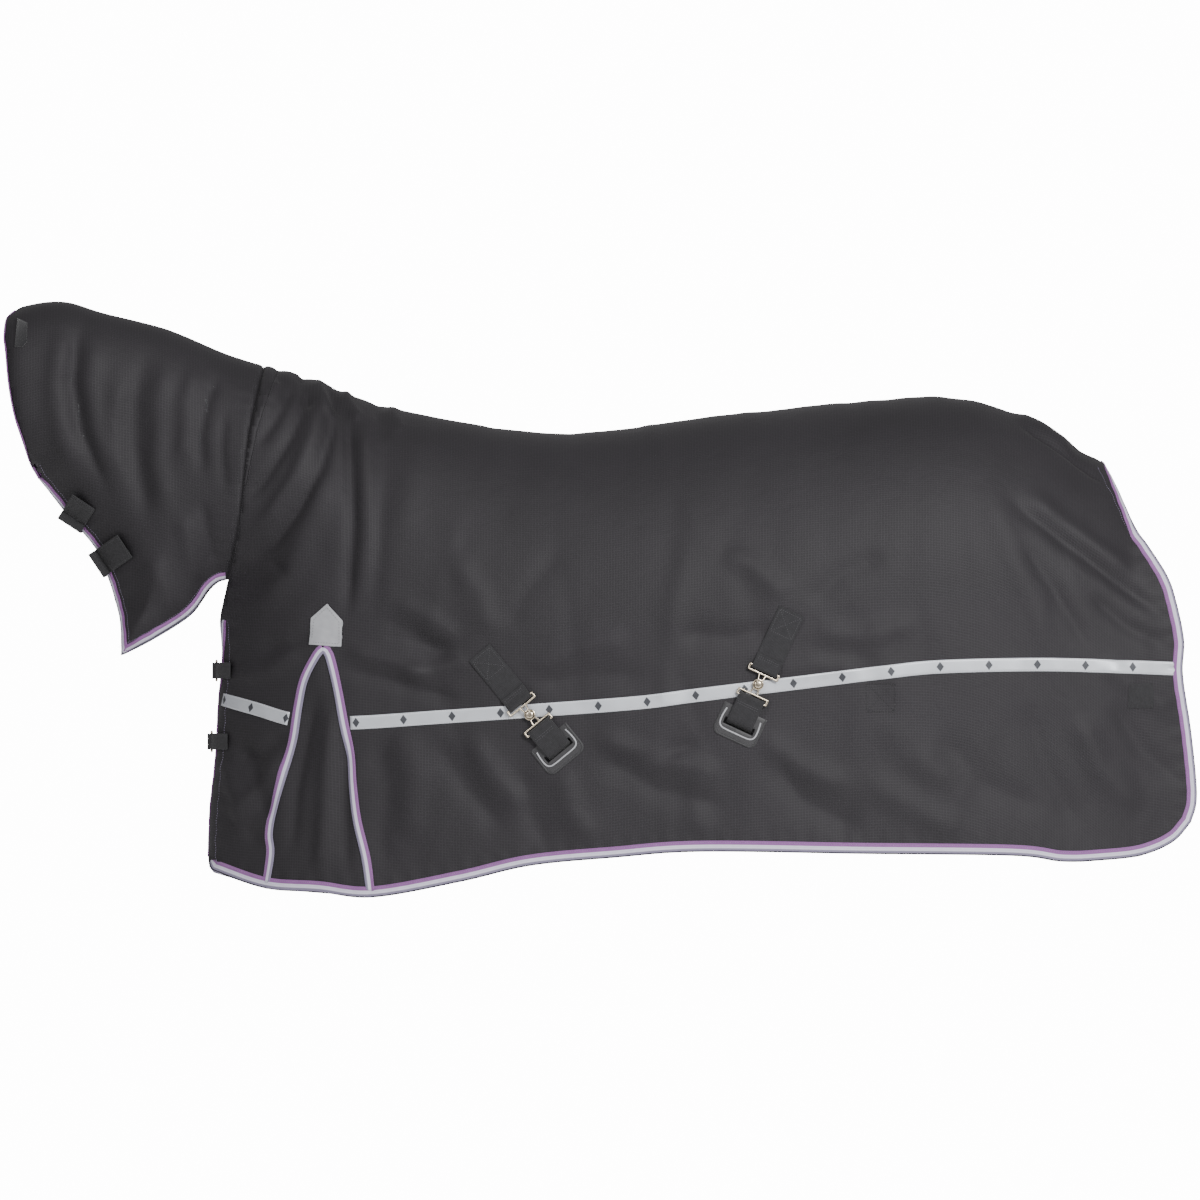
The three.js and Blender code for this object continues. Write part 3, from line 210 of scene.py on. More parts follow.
def side_width(x, z):
    """Half the rug's width at side-view places, with how far the side is turned in and how round it turns."""
    below = smooth(TOP, x) - z
    full = smooth(FULL_WIDTH, x) * quarter_round(below / smooth(ROUNDING, x))
    nearest = np.full(x.shape, np.inf)
    weights, share, reach, rounded = (np.zeros(x.shape) for _ in range(4))
    for i, (ex, ez, left, far, wrap) in enumerate(TURN_IN):
        nx, nz = TURN_IN[min(i + 1, len(TURN_IN) - 1)][:2]
        run = (nx - ex) ** 2 + (nz - ez) ** 2 or 1
        t = np.clip(((x - ex) * (nx - ex) + (z - ez) * (nz - ez)) / run, 0, 1)
        away = np.hypot(x - ex - t * (nx - ex), z - ez - t * (nz - ez))
        inside = (nx - ex) * (z - ez) - (nz - ez) * (x - ex) > 0
        tie = np.abs(away - np.abs(nearest)) < 1e-6
        closer = np.where(tie, inside, away < np.abs(nearest))
        nearest = np.where(closer, np.where(inside, away, -away), nearest)
        w = 1 / ((x - ex) ** 2 + (z - ez) ** 2 + 400) ** 2
        weights += w
        share += w * left
        reach += w * far
        rounded += w * wrap
    share, reach, rounded = share / weights, reach / weights, rounded / weights
    turned = quarter_round(nearest / reach) ** (ROUND_POWER / (1 + 1.2 * rounded))
    width = full * (share + (1 - share) * turned)
    from_face = x - smooth([(-z0, x0) for x0, z0 in FACE], -z)
    width = width - 22 * (1 - quarter_round(from_face / 40))
    return np.maximum(width, 4), full, rounded


# Folds and creases: a run of places, the height of the ridge or the depth of the crease, and its width.
FOLDS = [
    ([(-885, 215), (-898, 170), (-905, 95), (-890, 5), (-860, -70), (-835, -120)], -9, 17),
    ([(-925, 190), (-940, 90), (-925, -10), (-890, -90)], 7, 22),
    ([(-860, 190), (-872, 90), (-858, 0), (-830, -80)], 6, 20),
    ([(-770, 150), (-788, 60), (-788, -30), (-776, -105), (-768, -170)], -7, 20),
    ([(-725, 150), (-745, 50), (-745, -60), (-730, -160)], 7, 22),
    ([(-820, 100), (-830, 20), (-815, -90)], 5, 18),
    ([(-635, 110), (-655, 60), (-668, -5), (-665, -80)], -7, 13),
    ([(-675, 130), (-695, 60), (-700, -60)], 5, 16),
    ([(-622, 40), (-628, -30), (-622, -110)], -5, 9),
    ([(-665, -125), (-655, -190), (-640, -255)], -5, 13),
    ([(-700, -150), (-690, -220), (-672, -280)], 5, 16),
    ([(-760, -230), (-735, -290), (-720, -340)], 5, 20),
    ([(-810, -190), (-790, -270), (-775, -350)], -4, 20),
    ([(-390, 60), (-392, 20), (-387, -60), (-385, -165), (-390, -260), (-398, -350)], -8, 12),
    ([(-360, 40), (-360, -60), (-355, -200), (-365, -320)], 5, 18),
    ([(-415, 60), (-425, 0), (-445, -70), (-485, -145), (-530, -205), (-575, -222)], -8, 12),
    ([(-440, 80), (-460, 0), (-490, -80), (-535, -150), (-570, -180)], 6, 15),
    ([(-460, 90), (-500, -10), (-550, -90), (-588, -128)], -6, 10),
    ([(-490, 95), (-530, 20), (-565, -30)], -5, 10),
    ([(-520, 100), (-545, 60), (-560, 20)], 5, 11),
    ([(-575, -232), (-540, -232), (-500, -262)], -4, 10),
    ([(-430, -60), (-455, -160), (-500, -260), (-560, -330)], 6, 26),
    ([(-330, 30), (-325, -80), (-335, -220), (-360, -340)], -4, 24),
    ([(-250, 15), (-270, -90), (-300, -200)], 3, 30),
    ([(-480, 115), (-476, 85), (-462, 45)], -6, 9),
    ([(-455, 100), (-445, 70), (-425, 30)], 6, 9),
    ([(-430, 85), (-415, 55), (-395, 30)], -5, 8),
    ([(-405, 78), (-390, 50), (-370, 20)], 6, 9),
    ([(-345, 58), (-335, 30), (-322, -10)], -4, 9),
    ([(-318, 50), (-305, 25), (-292, 0)], 4, 10),
    ([(-530, 128), (-515, 90), (-505, 55)], -4, 9),
    ([(-400, -440), (-330, -455), (-250, -480), (-185, -495)], -5, 14),
    ([(-395, -405), (-320, -420), (-240, -450)], 5, 16),
    ([(-305, -310), (-240, -345), (-185, -385)], 4, 20),
    ([(-330, -340), (-260, -380), (-200, -430)], -4, 18),
    ([(-440, -360), (-500, -395), (-560, -400)], -4, 16),
    ([(-480, -400), (-540, -440), (-600, -452)], 5, 18),
    ([(-600, -560), (-560, -640), (-545, -720)], -6, 18),
    ([(-630, -600), (-600, -680), (-590, -760)], 6, 20),
    ([(-510, -560), (-560, -600), (-610, -600)], -5, 16),
    ([(-520, -600), (-555, -660), (-600, -700)], 5, 16),
    ([(-555, -760), (-590, -730), (-620, -720)], -4, 14),
    ([(-450, -480), (-470, -560), (-490, -660), (-500, -780)], -6, 15),
    ([(-420, -500), (-430, -620), (-440, -760), (-445, -840)], 7, 17),
    ([(-395, -560), (-400, -700), (-395, -820)], -5, 14),
    ([(-340, -560), (-320, -650), (-330, -760), (-320, -830)], -4, 26),
    ([(-290, -550), (-270, -640), (-280, -760)], 5, 32),
    ([(-170, -560), (-120, -640), (-60, -700)], 5, 26),
    ([(-230, -570), (-170, -660), (-100, -740)], -5, 26),
    ([(60, -560), (150, -600), (260, -620)], 5, 24),
    ([(80, -600), (180, -660), (300, -690)], -5, 26),
    ([(0, -620), (20, -700), (60, -760)], 5, 28),
    ([(-70, -620), (-60, -690), (-20, -770)], -4, 24),
    ([(260, -570), (190, -600), (110, -610)], -4, 20),
    ([(370, -560), (440, -620), (540, -660)], 5, 26),
    ([(390, -600), (450, -680), (560, -740)], -5, 28),
    ([(280, -600), (250, -680), (260, -760)], 5, 30),
    ([(600, -520), (650, -600), (740, -650)], 4, 34),
    ([(700, -560), (780, -650), (900, -700)], -4, 34),
    ([(560, -640), (660, -700), (760, -750)], 4, 30),
    ([(855, 15), (890, -5), (960, -52), (1025, -105)], -7, 6),
    ([(845, 35), (890, 12), (950, -30)], 5, 10),
    ([(830, -125), (920, -190), (1030, -275), (1130, -350)], -6, 17),
    ([(860, -110), (960, -190), (1070, -270)], 5, 20),
    ([(850, -200), (900, -270), (950, -350), (980, -405)], -4, 18),
    ([(780, -90), (830, -200), (880, -320), (910, -420)], 4, 32),
    ([(980, -300), (1050, -360), (1130, -400)], -5, 18),
    ([(1000, -420), (1070, -480), (1150, -520)], 5, 24),
    ([(1020, -500), (1080, -590), (1150, -650)], -5, 24),
    ([(960, -520), (1000, -620), (1080, -700)], 5, 30),
    ([(860, -500), (900, -620), (960, -740)], -4, 30),
    ([(-190, -400), (-260, -395), (-330, -370)], -4, 18),
    ([(-160, -420), (-230, -440), (-300, -450)], 4, 18),
    ([(-60, -440), (30, -400), (130, -380)], 4, 24),
    ([(-50, -470), (50, -450), (160, -450)], -4, 22),
    ([(-130, -380), (-150, -300), (-200, -220)], 4, 24),
    ([(-100, -370), (-60, -290), (0, -220)], -3, 24),
    ([(420, -310), (360, -250), (300, -220)], 4, 24),
    ([(460, -320), (520, -260), (600, -230)], -4, 26),
    ([(400, -360), (320, -380), (220, -370)], -4, 22),
    ([(470, -370), (560, -380), (660, -350)], 4, 24),
    ([(390, -450), (470, -430), (560, -440)], 3, 20),
]
# slack in the wadding: long soft ripples, mostly upright, at random places
rng = np.random.default_rng(7)
RIPPLE_COUNT = 230
RIPPLES = [
    (rng.uniform(-1000, 1170), rng.uniform(-840, 180), rng.uniform(-0.5, 0.5), rng.uniform(70, 190),
     rng.uniform(14, 34), rng.uniform(-2.4, 2.4))
    for _ in range(RIPPLE_COUNT)
]


def distance_to(x, z, line):
    """The distance to a line of places, and how far along it as a share of its length."""
    best = np.full(x.shape, np.inf)
    at = np.zeros(x.shape)
    lengths = [math.dist(a, b) for a, b in zip(line, line[1:])]
    done = 0.0
    for (ax, az), (bx, bz), length in zip(line, line[1:], lengths):
        t = np.clip(((x - ax) * (bx - ax) + (z - az) * (bz - az)) / length**2, 0, 1)
        away = np.hypot(x - ax - t * (bx - ax), z - az - t * (bz - az))
        closer = away < best
        best = np.where(closer, away, best)
        at = np.where(closer, (done + t * length) / sum(lengths), at)
        done += length
    return best, at


def folds(x, z):
    """How far the cloth stands out from the horse's smooth shape."""
    out = np.zeros(x.shape)
    for line, height, width in FOLDS:
        away, at = distance_to(x, z, line)
        taper = np.clip(np.minimum(at, 1 - at) * 5 + 0.12, 0, 1)
        x0, z0 = line[0]
        # creases are sharper than ridges, and the neck's lighter cloth folds less deep
        power = 1.6 if height < 0 else 2.0
        depth = 1.2 if x0 < -600 and z0 > -330 else 1.55
        out += height * depth * taper * np.exp(-((away / width / 0.9) ** power))
    for cx, cz, lean, length, width, height in RIPPLES:
        along = (x - cx) * math.sin(lean) + (z - cz) * math.cos(lean)
        across = (x - cx) * math.cos(lean) - (z - cz) * math.sin(lean)
        out += height * np.exp(-((along / length) ** 2) - (across / width) ** 2)
    # the edges and the neck seam are held by their stitches, which pucker the cloth beside them
    held = ((CHEST + HEM[1:] + REAR[1:], 30, 1.0, 34), (THROAT + NECK_HEM[1:], 26, 0.8, 31), (SEAM, 20, 0.5, 23))
    for line, reach, pucker, pitch in held:
        away, at = distance_to(x, z, line)
        length = sum(math.dist(a, b) for a, b in zip(line, line[1:]))
        out *= 1 - 0.75 * np.exp(-((away / reach) ** 2))
        out += pucker * np.sin(at * length / pitch * 2 * math.pi) * np.exp(-(((away - 22) / 16) ** 2))
        if line is SEAM:
            out -= 3.2 * np.exp(-((away / 5) ** 2))
    # it's flat under the clasps and the gusset patch
    for cx, cz, radius in ((-55, -525, 62), (365, -465, 62), (-434, -352, 40)):
        out *= 1 - 0.85 * np.exp(-((np.hypot(x - cx, z - cz) / radius) ** 4))
    return out


def skin(x, z, height=0.0, crease=True):
    """Points of the left side in metres, and their outward normals, for places and heights in millimetres."""
    x, z, height = np.broadcast_arrays(np.asarray(x, float), np.asarray(z, float), np.asarray(height, float))
    top = smooth(TOP, x)
    z = np.minimum(z, top)
    width = side_width(x, z)[0] * np.where(top - z < 1e-6, 0, 1)
    step = 1.5
    below = np.maximum(top - z, 0)
    near = below < 2 * step
    tailward, headward = (side_width(x + d, np.minimum(z, smooth(TOP, x + d)))[0] for d in (step, -step))
    wx = (tailward - headward) / (2 * step)
    wz = (side_width(x, z + step)[0] - side_width(x, z - step)[0]) / (2 * step)
    slope = (smooth(TOP, x + 4) - smooth(TOP, x - 4)) / 8
    nx = np.where(near, -slope, -wx)
    ny = np.where(near, -below / (2 * step) * 0.25, -1.0)
    nz = np.where(near, 1.0, -wz)
    length = np.sqrt(nx**2 + ny**2 + nz**2)
    normal = np.stack([nx, ny, nz], -1) / length[..., None]
    lifted = height + (folds(x, z) if crease else 0)
    point = np.stack([x, -width, z], -1) + normal * lifted[..., None]
    point[..., 1] = np.minimum(point[..., 1], 0)
    point = point * MM * np.array([stretch_x, stretch_y, stretch_z]) + np.array([0, 0, STACK * MM])
    return point, normal


def unroll(x, z):
    """Side-view places laid out flat enough to mesh evenly and to carry the weave, in millimetres."""
    width, full, rounded = side_width(x, z)
    below = smooth(TOP, x) - z
    return x - 0.8 * (full - width) * rounded, -(below + GIRTH_SHARE * full)


def inside(line, x, z):
    """Whether places are inside a closed outline."""
    found = np.zeros(x.shape, bool)
    for (ax, az), (bx, bz) in zip(line, line[1:] + line[:1]):
        crosses = (az > z) != (bz > z)
        where = ax + (z - az) * (bx - ax) / np.where(bz == az, 1e-9, bz - az)
        found ^= crosses & (x < where)
    return found


def divided(line, spacing, closed=False):
    """A line with points added so that none are further apart than spacing."""
    points = []
    ends = list(zip(line, line[1:] + line[:1])) if closed else list(zip(line, line[1:]))
    for a, b in ends:
        count = max(1, math.ceil(math.dist(a, b) / spacing))
        points += [(a[0] + (b[0] - a[0]) * i / count, a[1] + (b[1] - a[1]) * i / count) for i in range(count)]
    return points if closed else points + [line[-1]]


def rounded_line(line, spacing):
    """A smooth line through the points of a seam or an edge."""
    made = []
    for i in range(len(line) - 1):
        p0, p1, p2, p3 = (np.array(line[min(max(k, 0), len(line) - 1)], float) for k in (i - 1, i, i + 1, i + 2))
        count = max(1, math.ceil(np.linalg.norm(p2 - p1) / spacing))
        for k in range(count):
            t = k / count
            made.append(tuple(0.5 * (2 * p1 + (p2 - p0) * t + (2 * p0 - 5 * p1 + 4 * p2 - p3) * t**2
                                     + (3 * p1 - p0 - 3 * p2 + p3) * t**3)))
    return [(float(a), float(b)) for a, b in made] + [tuple(map(float, line[-1]))]


def mirrored(side):
    return np.array([1, -1 if side == "right" else 1, 1])


def cloth(name, side, outline, holes=(), *, material, height=0.0, spacing=8.0, thickness=1.1, outside=True):
    """Cloth cut to a side-view outline and laid on the horse's shape at a height over the outer's face."""
    edge = divided(outline, spacing * 0.8, closed=True)
    rings = [edge] + [divided(list(hole), spacing * 0.5, closed=True) for hole in holes]
    xs = [p[0] for p in edge]
    zs = [p[1] for p in edge]
    grid = []
    depth = np.concatenate([np.linspace(0, 3, 40) ** 2 / 3, np.linspace(3, 1200, 1400)[1:]])
    for k, x in enumerate(np.arange(min(xs), max(xs), spacing)):
        across = smooth(FULL_WIDTH, x) * quarter_round(depth / smooth(ROUNDING, x))
        run = depth + GIRTH_SHARE * across
        levels = np.arange(spacing * (0.5 if k % 2 else 1.0), run[-1], spacing)
        z = smooth(TOP, x) - np.interp(levels, run, depth)
        z = z[(z > min(zs)) & (z < max(zs))]
        grid += [(x, v) for v in z]
    if min(xs) < -560 and min(zs) < -400:
        for z in np.arange(max(min(zs), -850), -330, spacing):
            front = np.interp(-z, [-p[1] for p in CHEST], [p[0] for p in CHEST])
            share = np.arange(0.05, 0.8, spacing / 230)
            away = 250 * (1 - (1 - share**ROUND_POWER) ** (1 / ROUND_POWER))
            grid += [(front + d, z) for d in away[away < 60]]
    grid = np.array(grid)
    keep = inside(edge, grid[:, 0], grid[:, 1])
    for ring in rings[1:]:
        keep &= ~inside(ring, grid[:, 0], grid[:, 1])
    grid = grid[keep]
    borders = np.array([p for ring in rings for p in ring])
    flat_border = np.stack(unroll(borders[:, 0], borders[:, 1]), -1)
    flat_grid = np.stack(unroll(grid[:, 0], grid[:, 1]), -1) if len(grid) else np.zeros((0, 2))
    tree = KDTree(len(flat_border))
    for i, p in enumerate(flat_border):
        tree.insert((p[0], p[1], 0), i)
    tree.balance()
    clear = [i for i, p in enumerate(flat_grid) if tree.find((p[0], p[1], 0))[2] > spacing * 0.55]
    grid, flat_grid = grid[clear], flat_grid[clear]
    edges = []
    start = 0
    for ring in rings:
        edges += [(start + i, start + (i + 1) % len(ring)) for i in range(len(ring))]
        start += len(ring)
    flat = np.concatenate([flat_border, flat_grid])
    places = np.concatenate([borders, grid])
    _, _, faces, origin, _, _ = delaunay_2d_cdt([Vector(p) for p in flat], edges, [], 0, 1e-5)
    kept = [o[0] if o else None for o in origin]
    centre = np.array([np.mean([places[kept[v]] for v in f], 0) if all(kept[v] is not None for v in f)
                       else (1e6, 1e6) for f in faces])
    wanted = inside(edge, centre[:, 0], centre[:, 1])
    for ring in rings[1:]:
        wanted &= ~inside(ring, centre[:, 0], centre[:, 1])
    points, _ = skin(places[:, 0], places[:, 1], height)
    points = points * mirrored(side)
    triangles = [[kept[v] for v in f] for f, ok in zip(faces, wanted) if ok]
    # a triangle that would bridge the back is left out
    triangles = [t for t in triangles
                 if max(np.linalg.norm(points[t[k]] - points[t[k - 1]]) for k in range(3)) < 5 * spacing * MM]
    used = sorted({v for f in triangles for v in f})
    index = {v: i for i, v in enumerate(used)}
    faces = [[index[v] for v in f] for f in triangles]
    # the faces look outwards on the outer and inwards on the lining
    a, b, c = (points[used[faces[len(faces) // 2][k]]] for k in range(3))
    facing = np.cross(b - a, c - a)[1] * (1 if side == "right" else -1)
    if (facing > 0) != outside:
        faces = [f[::-1] for f in faces]
    piece = link(name, points[used], faces)
    layer = piece.data.uv_layers.new(name="UVMap")
    uv = np.array([flat[used[loop.vertex_index]] for loop in piece.data.loops]) * MM
    layer.data.foreach_set("uv", uv.astype(np.float32).ravel())
    solid = piece.modifiers.new("thickness", "SOLIDIFY")
    solid.thickness, solid.offset = thickness * MM, -1
    piece.data.materials.append(material)
    return piece


# ---- materials of the cloth ----
# Outer: charcoal woven nylon with a fine raised ripstop grid, a faint satin face and slightly uneven dye.
# Lining: thin black taffeta, shiny, with a close plain weave.
class Sock:
    """A node's socket. Arithmetic on it adds Math nodes, and make() adds a node of any other kind."""

    def __init__(self, tree, socket):
        self.tree, self.socket = tree, socket

    def make(self, kind, out=0, sockets=None, **settings):
        node = self.tree.nodes.new("ShaderNode" + kind)
        for key, value in settings.items():
            if key == "stops":
                ramp = node.color_ramp
                while len(ramp.elements) < len(value):
                    ramp.elements.new(0.5)
                for element, (place, colour) in zip(ramp.elements, value):
                    element.position = place
                    element.color = (*colour, 1)
            else:
                setattr(node, key, value)
        for key, value in (sockets or {}).items():
            if isinstance(value, Sock):
                self.tree.links.new(value.socket, node.inputs[key])
            else:
                node.inputs[key].default_value = value
        return Sock(self.tree, node.outputs[out])

    def output(self, index):
        """Another output of the same node."""
        return Sock(self.tree, self.socket.node.outputs[index])

    def maths(self, operation, a, b=0.0):
        return self.make("Math", operation=operation, sockets={0: a, 1: b})

    def __add__(self, other):
        return self.maths("ADD", self, other)

    def __sub__(self, other):
        return self.maths("SUBTRACT", self, other)

    def __mul__(self, other):
        return self.maths("MULTIPLY", self, other)

    def __truediv__(self, other):
        return self.maths("DIVIDE", self, other)

    def __pow__(self, other):
        return self.maths("POWER", self, other)

    def __rsub__(self, other):
        return self.maths("SUBTRACT", other, self)

    __radd__, __rmul__ = __add__, __mul__


def finish(name, roughness=0.6, metallic=0.0, sheen=0.0, specular=0.5):
    """A material with a Principled shader: (material, its shader node, a Sock to start from)."""
    material = bpy.data.materials.new(name)
    material.use_nodes = True
    shader = material.node_tree.nodes["Principled BSDF"]
    shader.inputs["Roughness"].default_value = roughness
    shader.inputs["Metallic"].default_value = metallic
    shader.inputs["Sheen Weight"].default_value = sheen
    shader.inputs["Specular IOR Level"].default_value = specular
    start = Sock(material.node_tree, None)
    return material, shader, start


def feed(shader, start, **sockets):
    """Links values to the shader's sockets, and a height in metres to its normal."""
    for key, value in sockets.items():
        if key == "height":
            bump = start.make("Bump", sockets={"Height": value, "Distance": 1.0, "Strength": 1.0})
            start.tree.links.new(bump.socket, shader.inputs["Normal"])
        else:
            start.tree.links.new(value.socket, shader.inputs[key.replace("_", " ").title()])


def wave(start, along, pitch):
    """A ripple from 0 to 1 along a coordinate in metres."""
    return start.maths("SINE", along * (2 * math.pi / pitch)) * 0.5 + 0.5


ripstop, shader, start = finish("charcoal_ripstop", roughness=0.66, sheen=0.05, specular=0.27)
shader.inputs["Sheen Roughness"].default_value = 0.4
place = start.make("UVMap", uv_map="UVMap")
across = start.make("SeparateXYZ", sockets={0: place})
along = across.output(1)
RIPSTOP_PITCH = 0.0052
lines = start.maths("MAXIMUM", wave(start, across, RIPSTOP_PITCH) ** 9, wave(start, along, RIPSTOP_PITCH) ** 9)
slub = start.make("TexNoise", sockets={"Vector": place, "Scale": 900.0, "Detail": 2.0})
cloud = start.make("TexNoise", sockets={"Vector": place, "Scale": 3.2, "Detail": 4.0, "Roughness": 0.6})
crumple = start.make("TexNoise", sockets={"Vector": place, "Scale": 26.0, "Detail": 3.0, "Distortion": 0.6})
tone = cloud * 0.35 + slub * 0.28 + lines * 0.2
colour = tone.make("ValToRGB", sockets={0: tone}, stops=[
    (0.16, (0.0122, 0.0112, 0.0128)), (0.82, (0.0345, 0.0314, 0.0362))])
feed(shader, start, base_color=colour, roughness=cloud * 0.14 + lines * -0.08 + 0.60,
     height=lines * 0.00012 + slub * 0.00008 + crumple * 0.0011)

taffeta, shader, start = finish("black_taffeta", roughness=0.32, specular=0.6)
place = start.make("UVMap", uv_map="UVMap")
across = start.make("SeparateXYZ", sockets={0: place})
weave = wave(start, across, 0.0016) * wave(start, across.output(1), 0.0016)
crumple = start.make("TexNoise", sockets={"Vector": place, "Scale": 34.0, "Detail": 4.0, "Distortion": 0.8})
colour = crumple.make("ValToRGB", sockets={0: crumple}, stops=[
    (0.2, (0.008, 0.008, 0.010)), (0.85, (0.019, 0.018, 0.022))])
feed(shader, start, base_color=colour, roughness=crumple * 0.16 + 0.24, height=weave * 0.00005 + crumple * 0.0016)


# ---- body and neck panels ----
# Each side of the body is one quilted panel: ripstop outside, wadding, taffeta inside. The neck is a lighter pair
# of plies, sewn on along the neck seam. The left body is slotted for the two belly straps.


def along_top(x0, x1):
    xs = np.arange(x0, x1, 6.0 if x1 > x0 else -6.0)
    return [(float(x), float(smooth(TOP, np.array(x)))) for x in xs] + [(x1, float(smooth(TOP, np.array(x1))))]


chest_edge, hem_edge, rear_edge = rounded_line(CHEST, 8), rounded_line(HEM, 8), rounded_line(REAR, 8)
face_edge, throat_edge, neck_edge = rounded_line(FACE, 6), rounded_line(THROAT, 6), rounded_line(NECK_HEM, 6)
seam_line = rounded_line(SEAM, 6)
rear_top = (1004.0, float(smooth(TOP, np.array(1004.0))))
face_top = (-1012.0, float(smooth(TOP, np.array(-1012.0))))
seam_top = (-551.0, float(smooth(TOP, np.array(-551.0))))
body_outline = (chest_edge + hem_edge[1:] + rear_edge[1:-1] + [rear_top]
                + along_top(rear_top[0], seam_top[0])[1:] + seam_line[::-1][1:-1])
neck_outline = (face_edge[1:] + throat_edge[1:] + neck_edge[1:] + seam_line[1:-1]
                + along_top(seam_top[0], face_top[0]))
gusset_outline = rounded_line(GUSSET_LEFT, 8) + rounded_line(GUSSET_RIGHT, 8)[::-1][:-1]

clasp_frames = {}
for name in ("front", "rear"):
    upper = joints[f"{name}_clip_upper_hinge"]
    lower = joints[f"{name}_clip_lower_hinge"]
    upper_bar, lower_bar = np.array(upper["pos_m"]), np.array(lower["pos_m"])
    run = lower_bar - upper_bar
    along = run / np.linalg.norm(run)
    across = -np.array(upper["axis"], float)
    across /= np.linalg.norm(across)
    out = np.cross(along, across)
    if out[1] > 0:
        out = -out
    clasp_frames[name] = (upper_bar, along, across, out, float(np.linalg.norm(run)))


def on_clasp(name, a, c, n):
    """A point of a clasp in metres: mm along from its upper bar, across, and out from the bars' level."""
    origin, along, across, out, _ = clasp_frames[name]
    return origin + (along * a + across * c + out * n) * MM


def side_place(point):
    return (float(point[0]) / MM / stretch_x, (float(point[2]) - STACK * MM) / MM / stretch_z)


slots = []
for name in ("front", "rear"):
    span = clasp_frames[name][4] / MM
    low, high = span + 24 + 31 - 6.5, span + 24 + 31 + 6.5
    corners = ((low, -30), (high, -30), (high, 30), (low, 30))
    slots.append([side_place(on_clasp(name, a, c, 0)) for a, c in corners])

for side in ("left", "right"):
    cuts = slots if side == "left" else []
    body = cloth(f"body_outer_{side}_cloth", side, body_outline, [gusset_outline] + cuts, material=ripstop)
    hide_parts(f"body_outer_{side}")
    lining = cloth(f"body_lining_{side}_cloth", side, body_outline, [gusset_outline] + cuts, height=-8.2,
                   spacing=14, thickness=0.8, material=taffeta, outside=False)
    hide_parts(f"body_lining_{side}", f"body_fill_{side}")
    neck = cloth(f"neck_outer_{side}_cloth", side, neck_outline, material=ripstop, spacing=7)
    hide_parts(f"neck_outer_{side}")
    neck_lining = cloth(f"neck_lining_{side}_cloth", side, neck_outline, height=-2.4, spacing=12, thickness=0.8,
                        material=taffeta, outside=False)
    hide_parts(f"neck_lining_{side}")
    gusset = cloth(f"shoulder_gusset_{side}_cloth", side, gusset_outline, height=-1.0, spacing=7,
                   material=ripstop)
    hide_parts(f"shoulder_gusset_{side}")
    for piece, slot, flat, area, rests in (
        (body, "ripstop", (1.12, 1.84), 1.90, f"body_lining_{side}"),
        (lining, "taffeta", (1.12, 1.84), 1.82, f"body_outer_{side}"),
        (neck, "ripstop", (0.58, 0.62), 0.286, f"body_outer_{side}"),
        (neck_lining, "taffeta", (0.58, 0.62), 0.286, f"neck_outer_{side}"),
        (gusset, "ripstop", (0.2, 0.46), 0.064, f"body_outer_{side}"),
    ):
        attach(piece, "rug")

# ---- braid bindings ----
# Woven braid folded over every free edge and stitched through: grey-lilac at the rim, a ribbed white-lilac middle
# and purple towards the cloth. The gusset's two seams are covered with a flat run of the same braid.
braid, shader, start = finish("striped_braid", roughness=0.72, sheen=0.15)
place = start.make("UVMap", uv_map="UVMap")
across = start.make("SeparateXYZ", sockets={0: place})
along = across.output(1)
GREY_LILAC, WHITE_LILAC, PURPLE = (0.25, 0.22, 0.33), (0.72, 0.69, 0.82), (0.27, 0.10, 0.31)
stripes = across.make("ValToRGB", sockets={0: across * 50.0}, stops=[
    (0.0, GREY_LILAC), (0.27, GREY_LILAC), (0.31, WHITE_LILAC), (0.47, WHITE_LILAC), (0.49, (0.5, 0.46, 0.66)),
    (0.51, WHITE_LILAC), (0.60, WHITE_LILAC), (0.64, PURPLE), (1.0, PURPLE)])
weft = wave(start, along, 0.0021)
ends = wave(start, across, 0.0014)
speck = start.make("TexNoise", sockets={"Vector": place, "Scale": 700.0})
shade = start.make("MapRange", sockets={0: weft * 0.5 + speck * 0.5, 3: 0.72, 4: 1.0})
coloured = start.make("Mix", out=2, data_type="RGBA", blend_type="MULTIPLY",
                      sockets={0: 1.0, 6: stripes, 7: shade})
feed(shader, start, base_color=coloured, height=weft * 0.0003 + ends * 0.00014)


